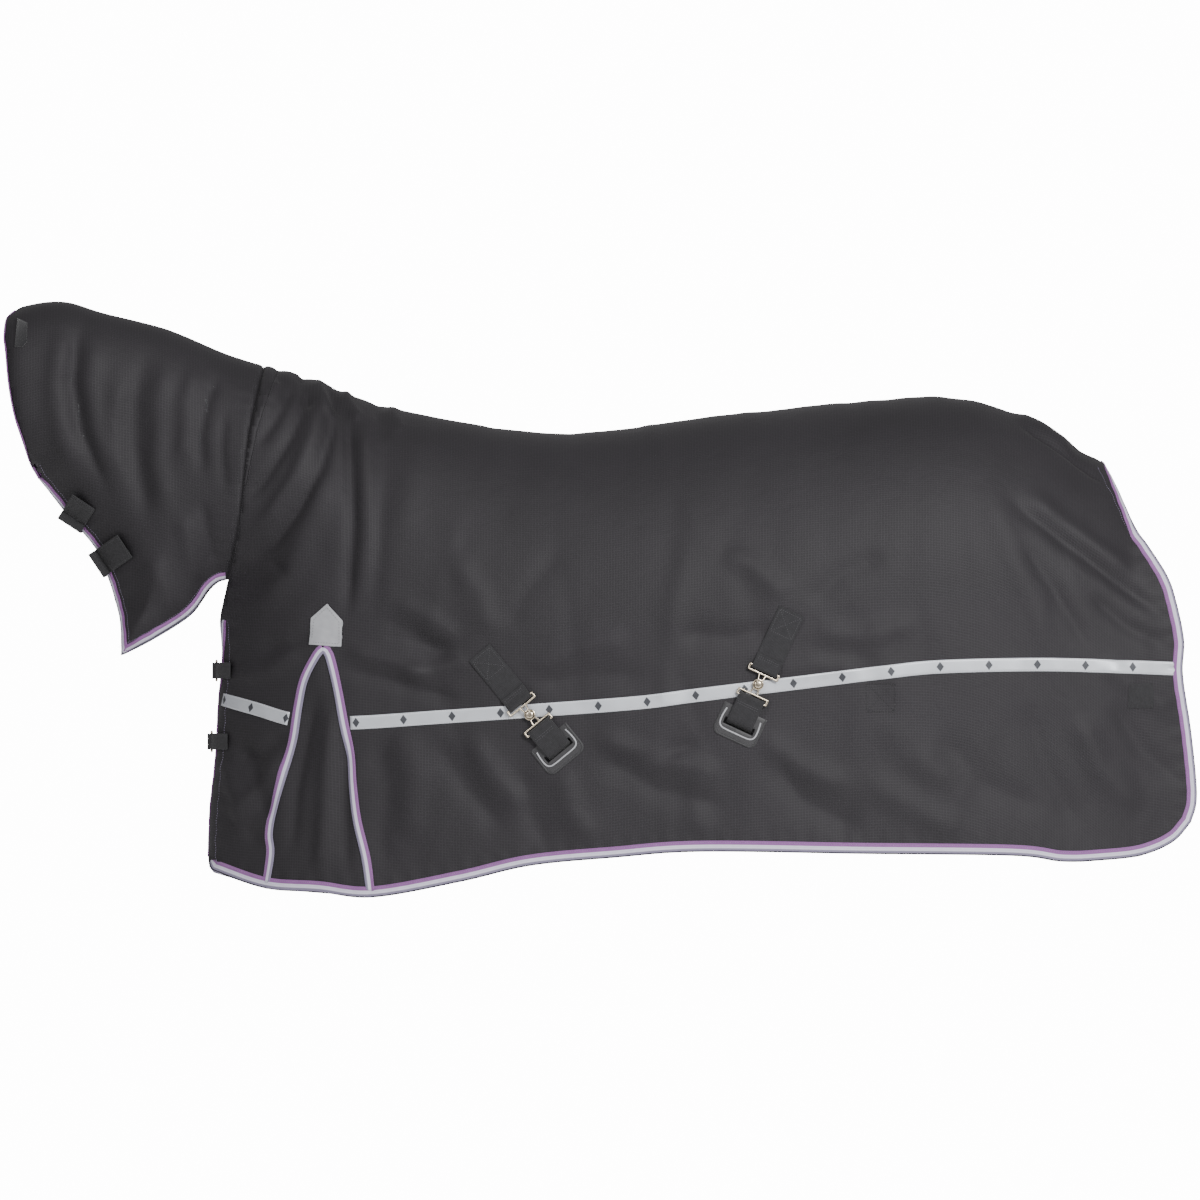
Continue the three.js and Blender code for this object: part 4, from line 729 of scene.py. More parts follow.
def sweep(name, side, line, profile, material):
    """A section carried along a side-view line on the cloth. The profile is a closed run of (distance to the left
    of the line, height, position across the braid) in millimetres, with distances measured over the cloth."""
    line = np.array(line)
    tangent = np.gradient(line, axis=0)
    tangent /= np.linalg.norm(tangent, axis=1)[:, None]
    for _ in range(2):
        tangent[1:-1] = tangent[:-2] + tangent[1:-1] * 2 + tangent[2:]
        tangent /= np.linalg.norm(tangent, axis=1)[:, None]
    left = np.stack([-tangent[:, 1], tangent[:, 0]], -1)
    low, high = min(p[0] for p in profile), max(p[0] for p in profile)
    reach = np.arange(math.floor(low) - 1, math.ceil(high) + 2)
    places = line[:, None] + left[:, None] * reach[None, :, None]
    laid, _ = skin(places[..., 0], places[..., 1], 0.0)
    steps = np.linalg.norm(np.diff(laid, axis=1), axis=2) / MM
    run = np.concatenate([np.zeros((len(line), 1)), np.cumsum(steps, 1)], 1)
    zero = int(np.where(reach == 0)[0][0])
    run -= run[:, zero:zero + 1]
    rings = []
    for distance, height, _ in profile:
        d = np.array([np.interp(distance, run[i], reach) for i in range(len(line))])
        if distance < 0:
            d = np.full(len(line), distance)
        at = line + left * d[:, None]
        rings.append(skin(at[:, 0], at[:, 1], height)[0])
    rings = np.stack(rings, 1) * mirrored(side)
    count = len(profile)
    faces = []
    for i in range(len(line) - 1):
        for j in range(count):
            k = (j + 1) % count
            faces.append((i * count + j, i * count + k, (i + 1) * count + k, (i + 1) * count + j))
    faces.append(tuple(range(count))[::-1])
    faces.append(tuple((len(line) - 1) * count + j for j in range(count)))
    if side == "right":
        faces = [f[::-1] for f in faces]
    piece = link(name, rings.reshape(-1, 3), faces)
    middle = rings[:, 0]
    length = np.concatenate([[0], np.cumsum(np.linalg.norm(np.diff(middle, axis=0), axis=1))])
    layer = piece.data.uv_layers.new(name="UVMap")
    uv = np.array([(profile[loop.vertex_index % count][2] * MM, length[loop.vertex_index // count])
                   for loop in piece.data.loops])
    layer.data.foreach_set("uv", uv.astype(np.float32).ravel())
    mesh = bmesh.new()
    mesh.from_mesh(piece.data)
    bmesh.ops.recalc_face_normals(mesh, faces=mesh.faces)
    mesh.to_mesh(piece.data)
    mesh.free()
    piece.data.materials.append(material)
    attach(piece, "rug")
    return piece


def folded_braid(under, wide=20):
    """The section of braid folded round an edge, with its lower half this far under the outer's face."""
    over = [(wide, 0.1, 20), (wide - 0.5, 1.2, 20), (wide * 0.7, 1.55, 14), (wide * 0.5, 1.75, 10),
            (wide * 0.3, 1.5, 6), (wide * 0.15, 0.9, 3.5), (1, -0.4, 2), (-0.5, -2.0, 1)]
    middle = -under / 2
    rim = [(-1.0, middle, 0)]
    below = [(-0.5, -under + 2.0, 1), (1, -under + 0.4, 2), (3, -under - 0.9, 3.5),
             (wide * 0.5, -under - 1.4, 10), (wide - 0.5, -under - 1.2, 20), (wide, -under - 0.1, 20)]
    inner = [(1.6, -under + 0.6, 2), (1.2, middle, 1), (1.6, -0.7, 2)]
    return over + rim + below + inner


def laid_braid(wide):
    """The section of a flat run of braid."""
    half = wide / 2
    top = [(-half + 0.4, 1.35), (-half * 0.55, 1.65), (0, 1.8), (half * 0.55, 1.65), (half - 0.4, 1.35)]
    return [(w, h, (w + half) * 20 / wide) for w, h in [(-half, 0.25)] + top + [(half, 0.25)]]


# ---- thread ----
# Lock stitches, each a small raised lozenge of thread, in rows along the seams, tapes and patches: lilac on the
# braid, grey on the tape and the webbing, near black on the patches.
def thread_colour(name, colour):
    material, shader, start = finish(name, roughness=0.6, sheen=0.1)
    speck = start.make("TexNoise", sockets={"Scale": 1400.0})
    shade = speck.make("ValToRGB", sockets={0: speck}, stops=[
        (0.2, tuple(c * 0.7 for c in colour)), (0.8, tuple(min(1, c * 1.2) for c in colour))])
    feed(shader, start, base_color=shade)
    return material


dark_thread = thread_colour("dark_thread", (0.012, 0.012, 0.014))
grey_thread = thread_colour("grey_thread", (0.075, 0.073, 0.08))
lilac_thread = thread_colour("lilac_thread", (0.36, 0.3, 0.46))


def stitches(name, side, rows, material, pitch=4.6, length=3.3, thick=0.5):
    """Rows of stitches. Each row is (side-view line, distance to its left, height)."""
    vertices, faces = [], []
    for line, offset, height in rows:
        dense = np.array(divided([tuple(p) for p in line], 1.0))
        tangent = np.gradient(dense, axis=0)
        tangent /= np.linalg.norm(tangent, axis=1)[:, None]
        dense = dense + np.stack([-tangent[:, 1], tangent[:, 0]], -1) * offset
        points, normals = skin(dense[:, 0], dense[:, 1], height)
        run = np.concatenate([[0], np.cumsum(np.linalg.norm(np.diff(points, axis=0), axis=1))]) / MM
        for middle in np.arange(pitch, run[-1] - pitch, pitch):
            a, b, m = (np.array([np.interp(middle + d, run, points[:, k]) for k in range(3)])
                       for d in (-length / 2, length / 2, 0))
            out = np.array([np.interp(middle, run, normals[:, k]) for k in range(3)])
            aside = np.cross(b - a, out)
            aside *= thick * MM / 2 / max(np.linalg.norm(aside), 1e-9)
            out = out * thick * MM
            first = len(vertices)
            vertices += [a - out * 0.5, m + aside, b - out * 0.5, m - aside, m + out, m - out]
            for p, q in ((0, 1), (1, 2), (2, 3), (3, 0)):
                faces += [(first + q, first + p, first + 4), (first + p, first + q, first + 5)]
    vertices = np.array(vertices) * mirrored(side)
    if side == "right":
        faces = [f[::-1] for f in faces]
    piece = link(name, vertices, faces)
    piece.data.materials.append(material)
    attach(piece, "rug")
    return piece


body_edge = ([p for p in chest_edge if p[1] < -345] + hem_edge[1:] + rear_edge[1:-1]
             + [(rear_top[0] + 3, rear_top[1] - 1)])
# the throat's braid laps a little way up the face opening, over the end of the narrow face binding
neck_rim = face_edge[-6:-1] + throat_edge + neck_edge[1:-1]
gusset_sides = [[p for p in rounded_line(line, 8) if p[1] < -399] for line in (GUSSET_LEFT, GUSSET_RIGHT)]
# the braid stops level with the hem
hem_x, hem_z = zip(*HEM)
gusset_sides = [[p for p in line if p[1] > np.interp(p[0], hem_x, hem_z) + 3] for line in gusset_sides]
for side in ("left", "right"):
    binding = sweep(f"body_binding_{side}_braid", side, body_edge, folded_braid(8.2), braid)
    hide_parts(f"body_binding_{side}")
    binding = sweep(f"neck_binding_{side}_braid", side, neck_rim, folded_braid(3.0), braid)
    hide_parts(f"neck_binding_{side}")
    binding = sweep(f"face_binding_{side}_braid", side, face_edge[1:-4], folded_braid(3.0, 9), braid)
    runs = []
    for line, sign, word in ((gusset_sides[0], -1, "fore"), (gusset_sides[1], 1, "hind")):
        section = [(w * sign, h, u) for w, h, u in laid_braid(17)]
        runs.append(sweep(f"gusset_binding_{side}_{word}_braid", side, line, section, braid))
    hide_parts(f"gusset_binding_{side}")
    stitches(f"braid_stitches_{side}", side, [
        (body_edge, 16.5, 1.6), (neck_rim, 16.5, 1.6), (gusset_sides[0], 6.6, 1.75), (gusset_sides[0], -6.6, 1.75),
        (gusset_sides[1], 6.6, 1.75), (gusset_sides[1], -6.6, 1.75)], lilac_thread)

# ---- neck seam ----
# The neck is joined to the body with a double row of stitches, and a tapered tunnel of the outer's cloth covers
# the top of the seam.
SEAM_STRIP = [(-549, 127), (-575, 4), (-588, -98), (-583, -98), (-562, 4), (-525, 119)]
for side in ("left", "right"):
    strip = cloth(f"neck_seam_strip_{side}_cloth", side, divided(SEAM_STRIP, 12, closed=True), height=1.4,
                  spacing=6, material=ripstop)
    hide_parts(f"neck_seam_strip_{side}")
    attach(strip, "rug")
    stitches(f"neck_seam_stitches_{side}", side, [
        (seam_line[2:-2], 4.5, 0.3), (seam_line[2:-2], 9.5, 0.3), (seam_line[2:40], -4.5, 0.3),
        (SEAM_STRIP[3:], -3, 1.9)], grey_thread)

# ---- reflective tape ----
# Silver tape with glass-bead sheen and lighter selvedges, printed with a row of plain dark diamonds, sewn on
# along both edges. It is cut at the gusset, where the cloth has to open.
MOTIF_PITCH, MOTIF_START = 0.091, 0.034
tape, shader, start = finish("reflective_silver", roughness=0.38, metallic=0.25)
place = start.make("UVMap", uv_map="UVMap")
across = start.make("SeparateXYZ", sockets={0: place})
along = across.output(1)
from_middle = start.maths("ABSOLUTE", across - 0.0125)
repeat = start.maths("ABSOLUTE", start.maths("FRACT", (along + MOTIF_START) / MOTIF_PITCH) - 0.5) * MOTIF_PITCH
diamond = start.maths("LESS_THAN", repeat / 0.0070 + from_middle / 0.0092, 1.0)
selvedge = start.maths("GREATER_THAN", from_middle, 0.0098)
beads = start.make("TexVoronoi", sockets={"Vector": place, "Scale": 1500.0})
cross = start.maths("MAXIMUM", wave(start, across + along, 0.0026) ** 8, wave(start, across - along, 0.0026) ** 8)
scuff = start.make("TexNoise", sockets={"Vector": place, "Scale": 40.0, "Detail": 4.0})
tone = scuff * 0.3 + cross * 0.12 + selvedge * 0.45 + 0.1
silver = tone.make("ValToRGB", sockets={0: tone}, stops=[
    (0.1, (0.42, 0.44, 0.47)), (0.9, (0.70, 0.72, 0.76))])
printed = start.make("Mix", out=2, data_type="RGBA",
                     sockets={0: diamond, 6: silver, 7: (0.045, 0.047, 0.055, 1)})
feed(shader, start, base_color=printed, roughness=scuff * 0.2 + 0.3, height=beads * 0.00004 + cross * 0.00006)

TAPE_LINE = [
    (-627, -495), (-558, -514), (-490, -533), (-392, -538), (-222, -527), (-20, -513), (148, -500), (241, -488),
    (420, -466), (592, -445), (703, -434), (888, -430), (1040, -434), (1142, -438),
]
tape_line = rounded_line(TAPE_LINE, 6)
tape_section = [(-12.5, 0.2, 0), (-12.2, 1.1, 0.3), (-8, 1.2, 4.5), (0, 1.25, 12.5), (8, 1.2, 20.5),
                (12.2, 1.1, 24.7), (12.5, 0.2, 25)]
front_run = [p for p in tape_line if p[0] < -498]
main_run = [p for p in tape_line if p[0] > -388]
for side in ("left", "right"):
    for word, run in (("front", front_run), ("main", main_run)):
        strip = sweep(f"reflective_tape_{word}_{side}_tape", side, run, tape_section, tape)
        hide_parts(f"reflective_tape_{word}_{side}")
    rows = [(run, w, 1.3) for run in (front_run, main_run) for w in (-11.2, 11.2)]
    stitches(f"tape_stitches_{side}", side, rows, grey_thread)

# ---- patches, pads and sewn squares ----
# A coated house-shaped patch holds the gusset's point. Loop pads for the throat tabs and at the poll are fuzzy
# black. Stitched squares show where the leg straps' webbing is sewn inside.
patch_rubber, shader, start = finish("coated_grey", roughness=0.5, specular=0.4)
place = start.make("UVMap", uv_map="UVMap")
grain = start.make("TexVoronoi", sockets={"Vector": place, "Scale": 900.0})
cloud = start.make("TexNoise", sockets={"Vector": place, "Scale": 60.0, "Detail": 3.0})
colour = cloud.make("ValToRGB", sockets={0: cloud}, stops=[
    (0.25, (0.30, 0.303, 0.32)), (0.8, (0.38, 0.383, 0.40))])
feed(shader, start, base_color=colour, roughness=cloud * 0.2 + 0.38, height=grain * 0.00012)

loop_pile, shader, start = finish("loop_pile", roughness=0.95, sheen=0.5, specular=0.2)
place = start.make("UVMap", uv_map="UVMap")
fuzz = start.make("TexNoise", sockets={"Vector": place, "Scale": 1100.0, "Detail": 4.0})
colour = fuzz.make("ValToRGB", sockets={0: fuzz}, stops=[
    (0.3, (0.006, 0.006, 0.007)), (0.8, (0.024, 0.023, 0.026))])
feed(shader, start, base_color=colour, height=fuzz * 0.0009)

webbing, shader, start = finish("black_webbing", roughness=0.8, sheen=0.1, specular=0.35)
place = start.make("UVMap", uv_map="UVMap")
across = start.make("SeparateXYZ", sockets={0: place})
along = across.output(1)
ribs = wave(start, along, 0.0019)
cords = wave(start, across + ribs * 0.0003, 0.0024)
cloud = start.make("TexNoise", sockets={"Vector": place, "Scale": 90.0, "Detail": 4.0})
tone = ribs * 0.35 + cords * 0.3 + cloud * 0.35
colour = tone.make("ValToRGB", sockets={0: tone}, stops=[
    (0.2, (0.009, 0.009, 0.010)), (0.85, (0.031, 0.030, 0.033))])
feed(shader, start, base_color=colour, height=ribs * 0.00025 + cords * 0.0003)

GUSSET_PATCH = [(-464, -393), (-404, -397), (-402, -349), (-430, -318), (-460, -344)]
POLL_PAD = [(-1008, 212), (-990, 204), (-990, 168), (-998, 159), (-1012, 159)]
SEWN_SQUARES = [(592, -491, 54), (1074, -488, 42)]


def inset_line(outline, distance):
    """A closed outline moved towards its middle."""
    middle = np.mean(outline, 0)
    return [tuple(np.array(p) + (middle - p) * distance / np.linalg.norm(middle - p)) for p in outline]


def laid_piece(name, side, outline, height, thickness, material, node=None, holes=(), spacing=5):
    """A flat patch or pad cut to a side-view outline and sewn down."""
    piece = cloth(name, side, divided([tuple(map(float, p)) for p in outline], 10, closed=True), holes,
                  height=height, spacing=spacing, thickness=thickness, material=material)
    bevel = piece.modifiers.new("soft_rim", "BEVEL")
    bevel.width = thickness * MM * 0.35
    bevel.segments = 2
    bevel.angle_limit = math.radians(50)
    if node:
        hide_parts(node)
    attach(piece, "rug")
    return piece


for side in ("left", "right"):
    laid_piece(f"gusset_patch_{side}_coated", side, GUSSET_PATCH, 2.3, 1.5, patch_rubber,
               f"gusset_patch_{side}")
    laid_piece(f"poll_pad_{side}_pile", side, POLL_PAD, 1.6, 1.3, loop_pile, f"poll_pad_{side}",
               spacing=4)
    inner = inset_line(GUSSET_PATCH, 6.5)
    stitches(f"gusset_patch_stitches_{side}", side, [(inner + inner[:1], 0, 2.5)], dark_thread, pitch=5.4,
             length=3.8, thick=0.8)
    rows = []
    for x, z, size in SEWN_SQUARES:
        h = size / 2
        square = [(x - h, z - h), (x + h, z - h), (x + h, z + h), (x - h, z + h), (x - h, z - h)]
        rows += [(square, 0, 0.5), (square, 2.5, 0.5), ([(x - h, z - h), (x + h, z + h)], 0, 0.5),
                 ([(x - h, z + h), (x + h, z - h)], 0, 0.5)]
    stitches(f"sewn_square_stitches_{side}", side, rows, dark_thread, pitch=4.2, length=3.2, thick=0.7)
x, z, size = SEWN_SQUARES[1]
for side in ("left", "right"):
    h = size / 2 + 2
    square = [(x - h, z - h), (x + h, z - h), (x + h, z + h), (x - h, z + h)]
    laid_piece(f"rear_sewn_patch_{side}", side, square, 0.9, 0.7, webbing)


# ---- belly surcingle clasps ----
# Each webbing tab is sewn to the left side with a crossed box and loops round the clip's bar. The clip's button,
# on bent wires, sits in the lower half's ring. The belly strap loops round the lower bar and goes in through the
# slot. Wires and turned pieces are warm nickel, and the slot's patch is moulded rubber.
def carried(name, points, across, out, profile, material, body, node=None, closed=False):
    """A section carried along points in metres. The profile is (mm across, mm out, mm over the weave)."""
    points, across, out = (np.array(v, float) for v in (points, across, out))
    rings = [points + across * w * MM + out * h * MM for w, h, _ in profile]
    rings = np.stack(rings, 1)
    rows, count = len(points), len(profile)
    faces = []
    for i in range(rows if closed else rows - 1):
        n = (i + 1) % rows
        faces += [(i * count + j, i * count + (j + 1) % count, n * count + (j + 1) % count, n * count + j)
                  for j in range(count)]
    if not closed:
        faces += [tuple(range(count)), tuple((rows - 1) * count + j for j in range(count))]
    piece = link(name, rings.reshape(-1, 3), faces)
    length = np.concatenate([[0], np.cumsum(np.linalg.norm(np.diff(points, axis=0), axis=1))])
    layer = piece.data.uv_layers.new(name="UVMap")
    uv = np.array([(profile[loop.vertex_index % count][2] * MM, length[loop.vertex_index // count])
                   for loop in piece.data.loops])
    layer.data.foreach_set("uv", uv.astype(np.float32).ravel())
    mesh = bmesh.new()
    mesh.from_mesh(piece.data)
    bmesh.ops.recalc_face_normals(mesh, faces=mesh.faces)
    mesh.to_mesh(piece.data)
    mesh.free()
    piece.data.materials.append(material)
    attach(piece, body)
    if node:
        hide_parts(node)
    return piece


def eased(points, steps=6):
    """A smooth line through points in space."""
    points = np.array(points, float)
    made = []
    for i in range(len(points) - 1):
        p0, p1, p2, p3 = (points[min(max(k, 0), len(points) - 1)] for k in (i - 1, i, i + 1, i + 2))
        for t in np.arange(steps) / steps:
            made.append(0.5 * (2 * p1 + (p2 - p0) * t + (2 * p0 - 5 * p1 + 4 * p2 - p3) * t**2
                               + (3 * p1 - p0 - 3 * p2 + p3) * t**3))
    return np.array(made + [points[-1]])


def unit(v):
    return v / np.maximum(np.linalg.norm(v, axis=-1, keepdims=True), 1e-12)


def strap(name, points, widths, width, material, body, node=None, thick=2.2, steps=6):
    """Flat webbing with soft selvedges along points in metres, each with the direction of its width."""
    line = eased(points, steps)
    across = eased(np.broadcast_to(widths, (len(points), 3)), steps)
    tangent = unit(np.gradient(line, axis=0))
    across = unit(across - tangent * (across * tangent).sum(1)[:, None])
    out = np.cross(tangent, across)
    h, t = width / 2, thick / 2
    top = [(-h + 0.15, t * 0.6), (-h + 1.2, t), (-h * 0.5, t), (0, t), (h * 0.5, t), (h - 1.2, t),
           (h - 0.15, t * 0.6)]
    profile = top + [(w, -n) for w, n in reversed(top)]
    profile = [(w, n, w + h) for w, n in profile]
    carried(name, line, across, out, profile, material, body, node)
    return line, across, out


TURN_STEPS = 40


def wire(name, points, radius, material, body, node=None, closed=False, steps=5):
    """Round wire along points in metres."""
    if closed:
        points = list(points)
        line = eased(points[-2:] + points + points[:2], steps)[2 * steps:-2 * steps][:len(points) * steps]
        tangent = unit(np.roll(line, -1, 0) - np.roll(line, 1, 0))
    else:
        line = eased(points, steps)
        tangent = unit(np.gradient(line, axis=0))
    normal = np.cross(tangent[0], (0.31, 0.52, 0.79))
    sides = []
    for t in tangent:
        normal = unit(normal - t * np.dot(normal, t))
        sides.append(normal)
    sides = np.array(sides)
    if closed:
        flat = unit(np.linalg.svd(line - line.mean(0))[2][2])
        sides = np.broadcast_to(flat, line.shape)
    out = np.cross(tangent, sides)
    profile = [(radius * math.cos(a), radius * math.sin(a), 0) for a in np.linspace(0, 2 * math.pi, 15)[:-1]]
    return carried(name, line, sides, out, profile, material, body, node, closed)


def turned(name, centre, axis, profile, material, body, node=None):
    """A lathe-turned piece: (radius, height) in millimetres round an axis through a centre in metres."""
    axis = unit(np.array(axis, float))
    a = unit(np.cross(axis, (0.21, 0.37, 0.9)))
    b = np.cross(axis, a)
    count = TURN_STEPS
    vertices, faces = [], []
    for r, h in profile:
        for k in range(count):
            turn = 2 * math.pi * k / count
            vertices.append(centre + (a * math.cos(turn) + b * math.sin(turn)) * r * MM + axis * h * MM)
    rows = len(profile)
    for i in range(rows):
        n = (i + 1) % rows
        faces += [(i * count + k, i * count + (k + 1) % count, n * count + (k + 1) % count, n * count + k)
                  for k in range(count)]
    piece = link(name, vertices, faces)
    mesh = bmesh.new()
    mesh.from_mesh(piece.data)
    bmesh.ops.remove_doubles(mesh, verts=mesh.verts, dist=1e-6)
    bmesh.ops.recalc_face_normals(mesh, faces=mesh.faces)
    mesh.to_mesh(piece.data)
    mesh.free()
    piece.data.materials.append(material)
    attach(piece, body)
    if node:
        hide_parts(node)
    return piece


def sewn(name, runs, material, body="rug", pitch=4.2, length=3.0, thick=0.7):
    """Stitches along runs of (points, outward directions) in metres."""
    vertices, faces = [], []
    for points, normals in runs:
        run = np.concatenate([[0], np.cumsum(np.linalg.norm(np.diff(points, axis=0), axis=1))]) / MM
        for middle in np.arange(pitch / 2, run[-1], pitch):
            a, b, m = (np.array([np.interp(middle + d, run, points[:, k]) for k in range(3)])
                       for d in (-length / 2, length / 2, 0))
            out = unit(np.array([np.interp(middle, run, normals[:, k]) for k in range(3)])) * thick * MM
            aside = unit(np.cross(b - a, out)) * thick * MM / 2
            first = len(vertices)
            vertices += [a - out * 0.3, m + aside, b - out * 0.3, m - aside, m + out * 0.7]
            faces += [(first + p, first + q, first + 4) for p, q in ((0, 1), (1, 2), (2, 3), (3, 0))]
    piece = link(name, vertices, faces)
    piece.data.materials.append(material)
    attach(piece, body)
    return piece


def on_strap(laid, a0, a1, c0, c1, lift=1.15, side=1):
    """A stitch run on a laid strap from (share along, mm across) to (share along, mm across)."""
    line, across, out = laid
    shares = np.linspace(0, 1, 24)
    at = (a0 + (a1 - a0) * shares) * (len(line) - 1)
    index = np.arange(len(line))
    pick = lambda rows: np.stack([np.interp(at, index, rows[:, k]) for k in range(3)], 1)
    c = (c0 + (c1 - c0) * shares)[:, None]
    return pick(line) + pick(across) * c * MM + pick(out) * lift * side * MM, pick(out) * side


def sewn_box(laid, a0, a1, half, side=1):
    corners = [(a0, -half), (a1, -half), (a1, half), (a0, half), (a0, -half)]
    runs = [on_strap(laid, a, b, c, d, side=side) for (a, c), (b, d) in zip(corners, corners[1:])]
    runs += [on_strap(laid, a0, a1, -half, half, side=side), on_strap(laid, a0, a1, half, -half, side=side)]
    return runs


nickel, shader, start = finish("champagne_nickel", roughness=0.24, metallic=1.0)
place = start.make("TexCoord", out=3)
wear = start.make("TexNoise", sockets={"Vector": place, "Scale": 180.0, "Detail": 4.0})
colour = wear.make("ValToRGB", sockets={0: wear}, stops=[(0.3, (0.50, 0.43, 0.33)), (0.75, (0.66, 0.58, 0.46))])
feed(shader, start, base_color=colour, roughness=wear * 0.22 + 0.14, height=wear * 0.00005)

rubber, shader, start = finish("moulded_rubber", roughness=0.55, specular=0.45)
place = start.make("UVMap", uv_map="UVMap")
grain = start.make("TexNoise", sockets={"Vector": place, "Scale": 700.0, "Detail": 3.0})
colour = grain.make("ValToRGB", sockets={0: grain}, stops=[
    (0.3, (0.020, 0.0195, 0.021)), (0.75, (0.034, 0.033, 0.036))])
feed(shader, start, base_color=colour, roughness=grain * 0.2 + 0.4, height=grain * 0.0002)

WEBBING_WIDTH = 51
CLIP_ARM = 9
LOOP = 4.1
WIRE = 2.1
slot_at = {name: frame_of[4] / MM + 55 for name, frame_of in clasp_frames.items()}


def cloth_under(name, a, half=24):
    """How far the cloth stands out from the bars' level under a strap's width."""
    origin, along, across, out, _ = clasp_frames[name]
    heights = []
    for c in (-half, -half / 2, 0, half / 2, half):
        x, z = side_place(on_clasp(name, a, c, 0))
        point, _ = skin(x, z)
        heights.append(float(np.dot(point - origin, out)) / MM)
    return max(heights)


for name in ("front", "rear"):
    origin, along, across, out, run = clasp_frames[name]
    span = run / MM
    at = lambda a, c=0.0, n=0.0: on_clasp(name, a, c, n)
    sewn_run = [(a, min(cloth_under(name, a) + 1.4, -4.4)) for a in range(-119, -20, 9)]
    section = sewn_run + [
        (-10, -4.6), (-2, -LOOP), (LOOP * 0.7, -LOOP * 0.7), (LOOP, 0), (LOOP * 0.7, LOOP * 0.7), (-1, LOOP),
        (-12, sewn_run[-1][1] + 3.8), (-24, sewn_run[-1][1] + 2.9)]
    laid = strap(f"{name}_surcingle_tab_webbing", [at(a, 0, n) for a, n in section], across, WEBBING_WIDTH,
                 webbing, "rug", f"{name}_surcingle_tab")
    faces_out = 1 if np.dot(laid[2][4], out) > 0 else -1
    count = len(section) - 1
    runs = sewn_box(laid, 0.6 / count, 5.4 / count, 21, faces_out)
    lines = [np.array([at(a, c, sewn_run[-1][1] + 4.3) for c in np.linspace(-22, 22, 12)]) for a in (-15, -19)]
    runs += [(line, np.broadcast_to(out, line.shape)) for line in lines]
    sewn(f"{name}_surcingle_tab_stitches", runs, grey_thread)

    body = f"{name}_clip_upper"
    side = 28.5
    loop = [(0, -side + 4), (0, -side), (1.5, -side - 0.4), (CLIP_ARM - 1.5, -side - 0.4), (CLIP_ARM, -side),
            (CLIP_ARM, -side + 4), (CLIP_ARM, 0), (CLIP_ARM, side - 4), (CLIP_ARM, side),
            (CLIP_ARM - 1.5, side + 0.4), (1.5, side + 0.4), (0, side), (0, side - 4), (0, 0)]
    wire(f"{name}_clip_upper_frame", [at(a, c) for a, c in loop], WIRE, nickel, body, body, closed=True)
    button_at = span / 2
    for sign in (-1, 1):
        wire(f"{name}_clip_upper_stem_{'left' if sign < 0 else 'right'}",
             [at(CLIP_ARM, 7 * sign), at(CLIP_ARM + 5, 5.6 * sign, 1.6), at(CLIP_ARM + 11, 4.2 * sign, 3.6),
              at(button_at - 3, 3.2 * sign, 4.4)], 1.6, nickel, body)
    turned(f"{name}_clip_upper_button", at(button_at), out,
           [(0, -1), (3.2, -1), (3.4, -0.6), (3.4, 3.6), (6.4, 3.6), (7, 4.1), (7, 4.8), (6.2, 5.5), (3.5, 5.95),
            (0, 6.05)], nickel, body)
    body = f"{name}_clip_lower"
    wire(f"{name}_clip_lower_frame", [at(span - a, c) for a, c in loop], WIRE, nickel, body, body, closed=True)
    for sign in (-1, 1):
        wire(f"{name}_clip_lower_arm_{'left' if sign < 0 else 'right'}",
             [at(span - CLIP_ARM, 7 * sign), at(span - CLIP_ARM - 5, 6.6 * sign, -0.1),
              at(button_at + 8.3, 4.6 * sign, -0.2)], 1.6, nickel, body)
    turned(f"{name}_clip_lower_ring", at(button_at), out,
           [(6.5, -0.6), (7.1, -1.2), (9.9, -1.2), (10.5, -0.6), (10.5, 0.2), (9.9, 0.8), (7.1, 0.8),
            (6.5, 0.2)], nickel, body)

    # the moulded patch round the slot, with a raised lip at its rim and round the slot
    slot = slot_at[name]
    start_a, end_a, half, corner = slot - 31, slot + 30, 43, 14
    turn = [(end_a - corner + corner * math.sin(t), half - corner + corner * math.cos(t))
            for t in np.linspace(0, math.pi / 2, 7)]
    rim = [(start_a, half)] + turn + [(a, -c) for a, c in reversed(turn)] + [(start_a, -half)]
    place_of = lambda places: [side_place(at(a, c, 0)) for a, c in places]
    hole = [(slot - 6.5, -30), (slot + 6.5, -30), (slot + 6.5, 30), (slot - 6.5, 30)]
    laid_piece(f"{name}_slot_patch_rubber", "left", place_of(rim), 1.4, 1.3, rubber,
               f"{name}_slot_patch", holes=[place_of(hole)])
    bead = [(-1.6, 0.9, 0), (-1.2, 2.0, 1), (0, 2.4, 2), (1.2, 2.0, 3), (1.6, 0.9, 4)]

    def shrunk(by):
        """The patch's rim, moved in."""
        half_rim = [(start_a + 1, half - by)] + [(a - by * 0.8, c - by * 0.8) for a, c in turn]
        return half_rim + [(a, -c) for a, c in reversed(half_rim)]

    lip = sweep(f"{name}_slot_patch_outer_lip", "left", divided(place_of(shrunk(2.5)), 3), bead, rubber)
    u_run = [(start_a + 9, 34), (slot - 6, 36), (slot + 8, 35), (slot + 14, 29), (slot + 15.5, 18),
             (slot + 15.5, 0)]
    u_run = u_run + [(a, -c) for a, c in reversed(u_run[:-1])]
    lip = sweep(f"{name}_slot_patch_inner_lip", "left", rounded_line(place_of(u_run), 3), bead, patch_rubber)
    stitches(f"{name}_slot_patch_stitches", "left", [(place_of(shrunk(7)), 0, 1.6)], grey_thread, pitch=4.4,
             length=3.2)

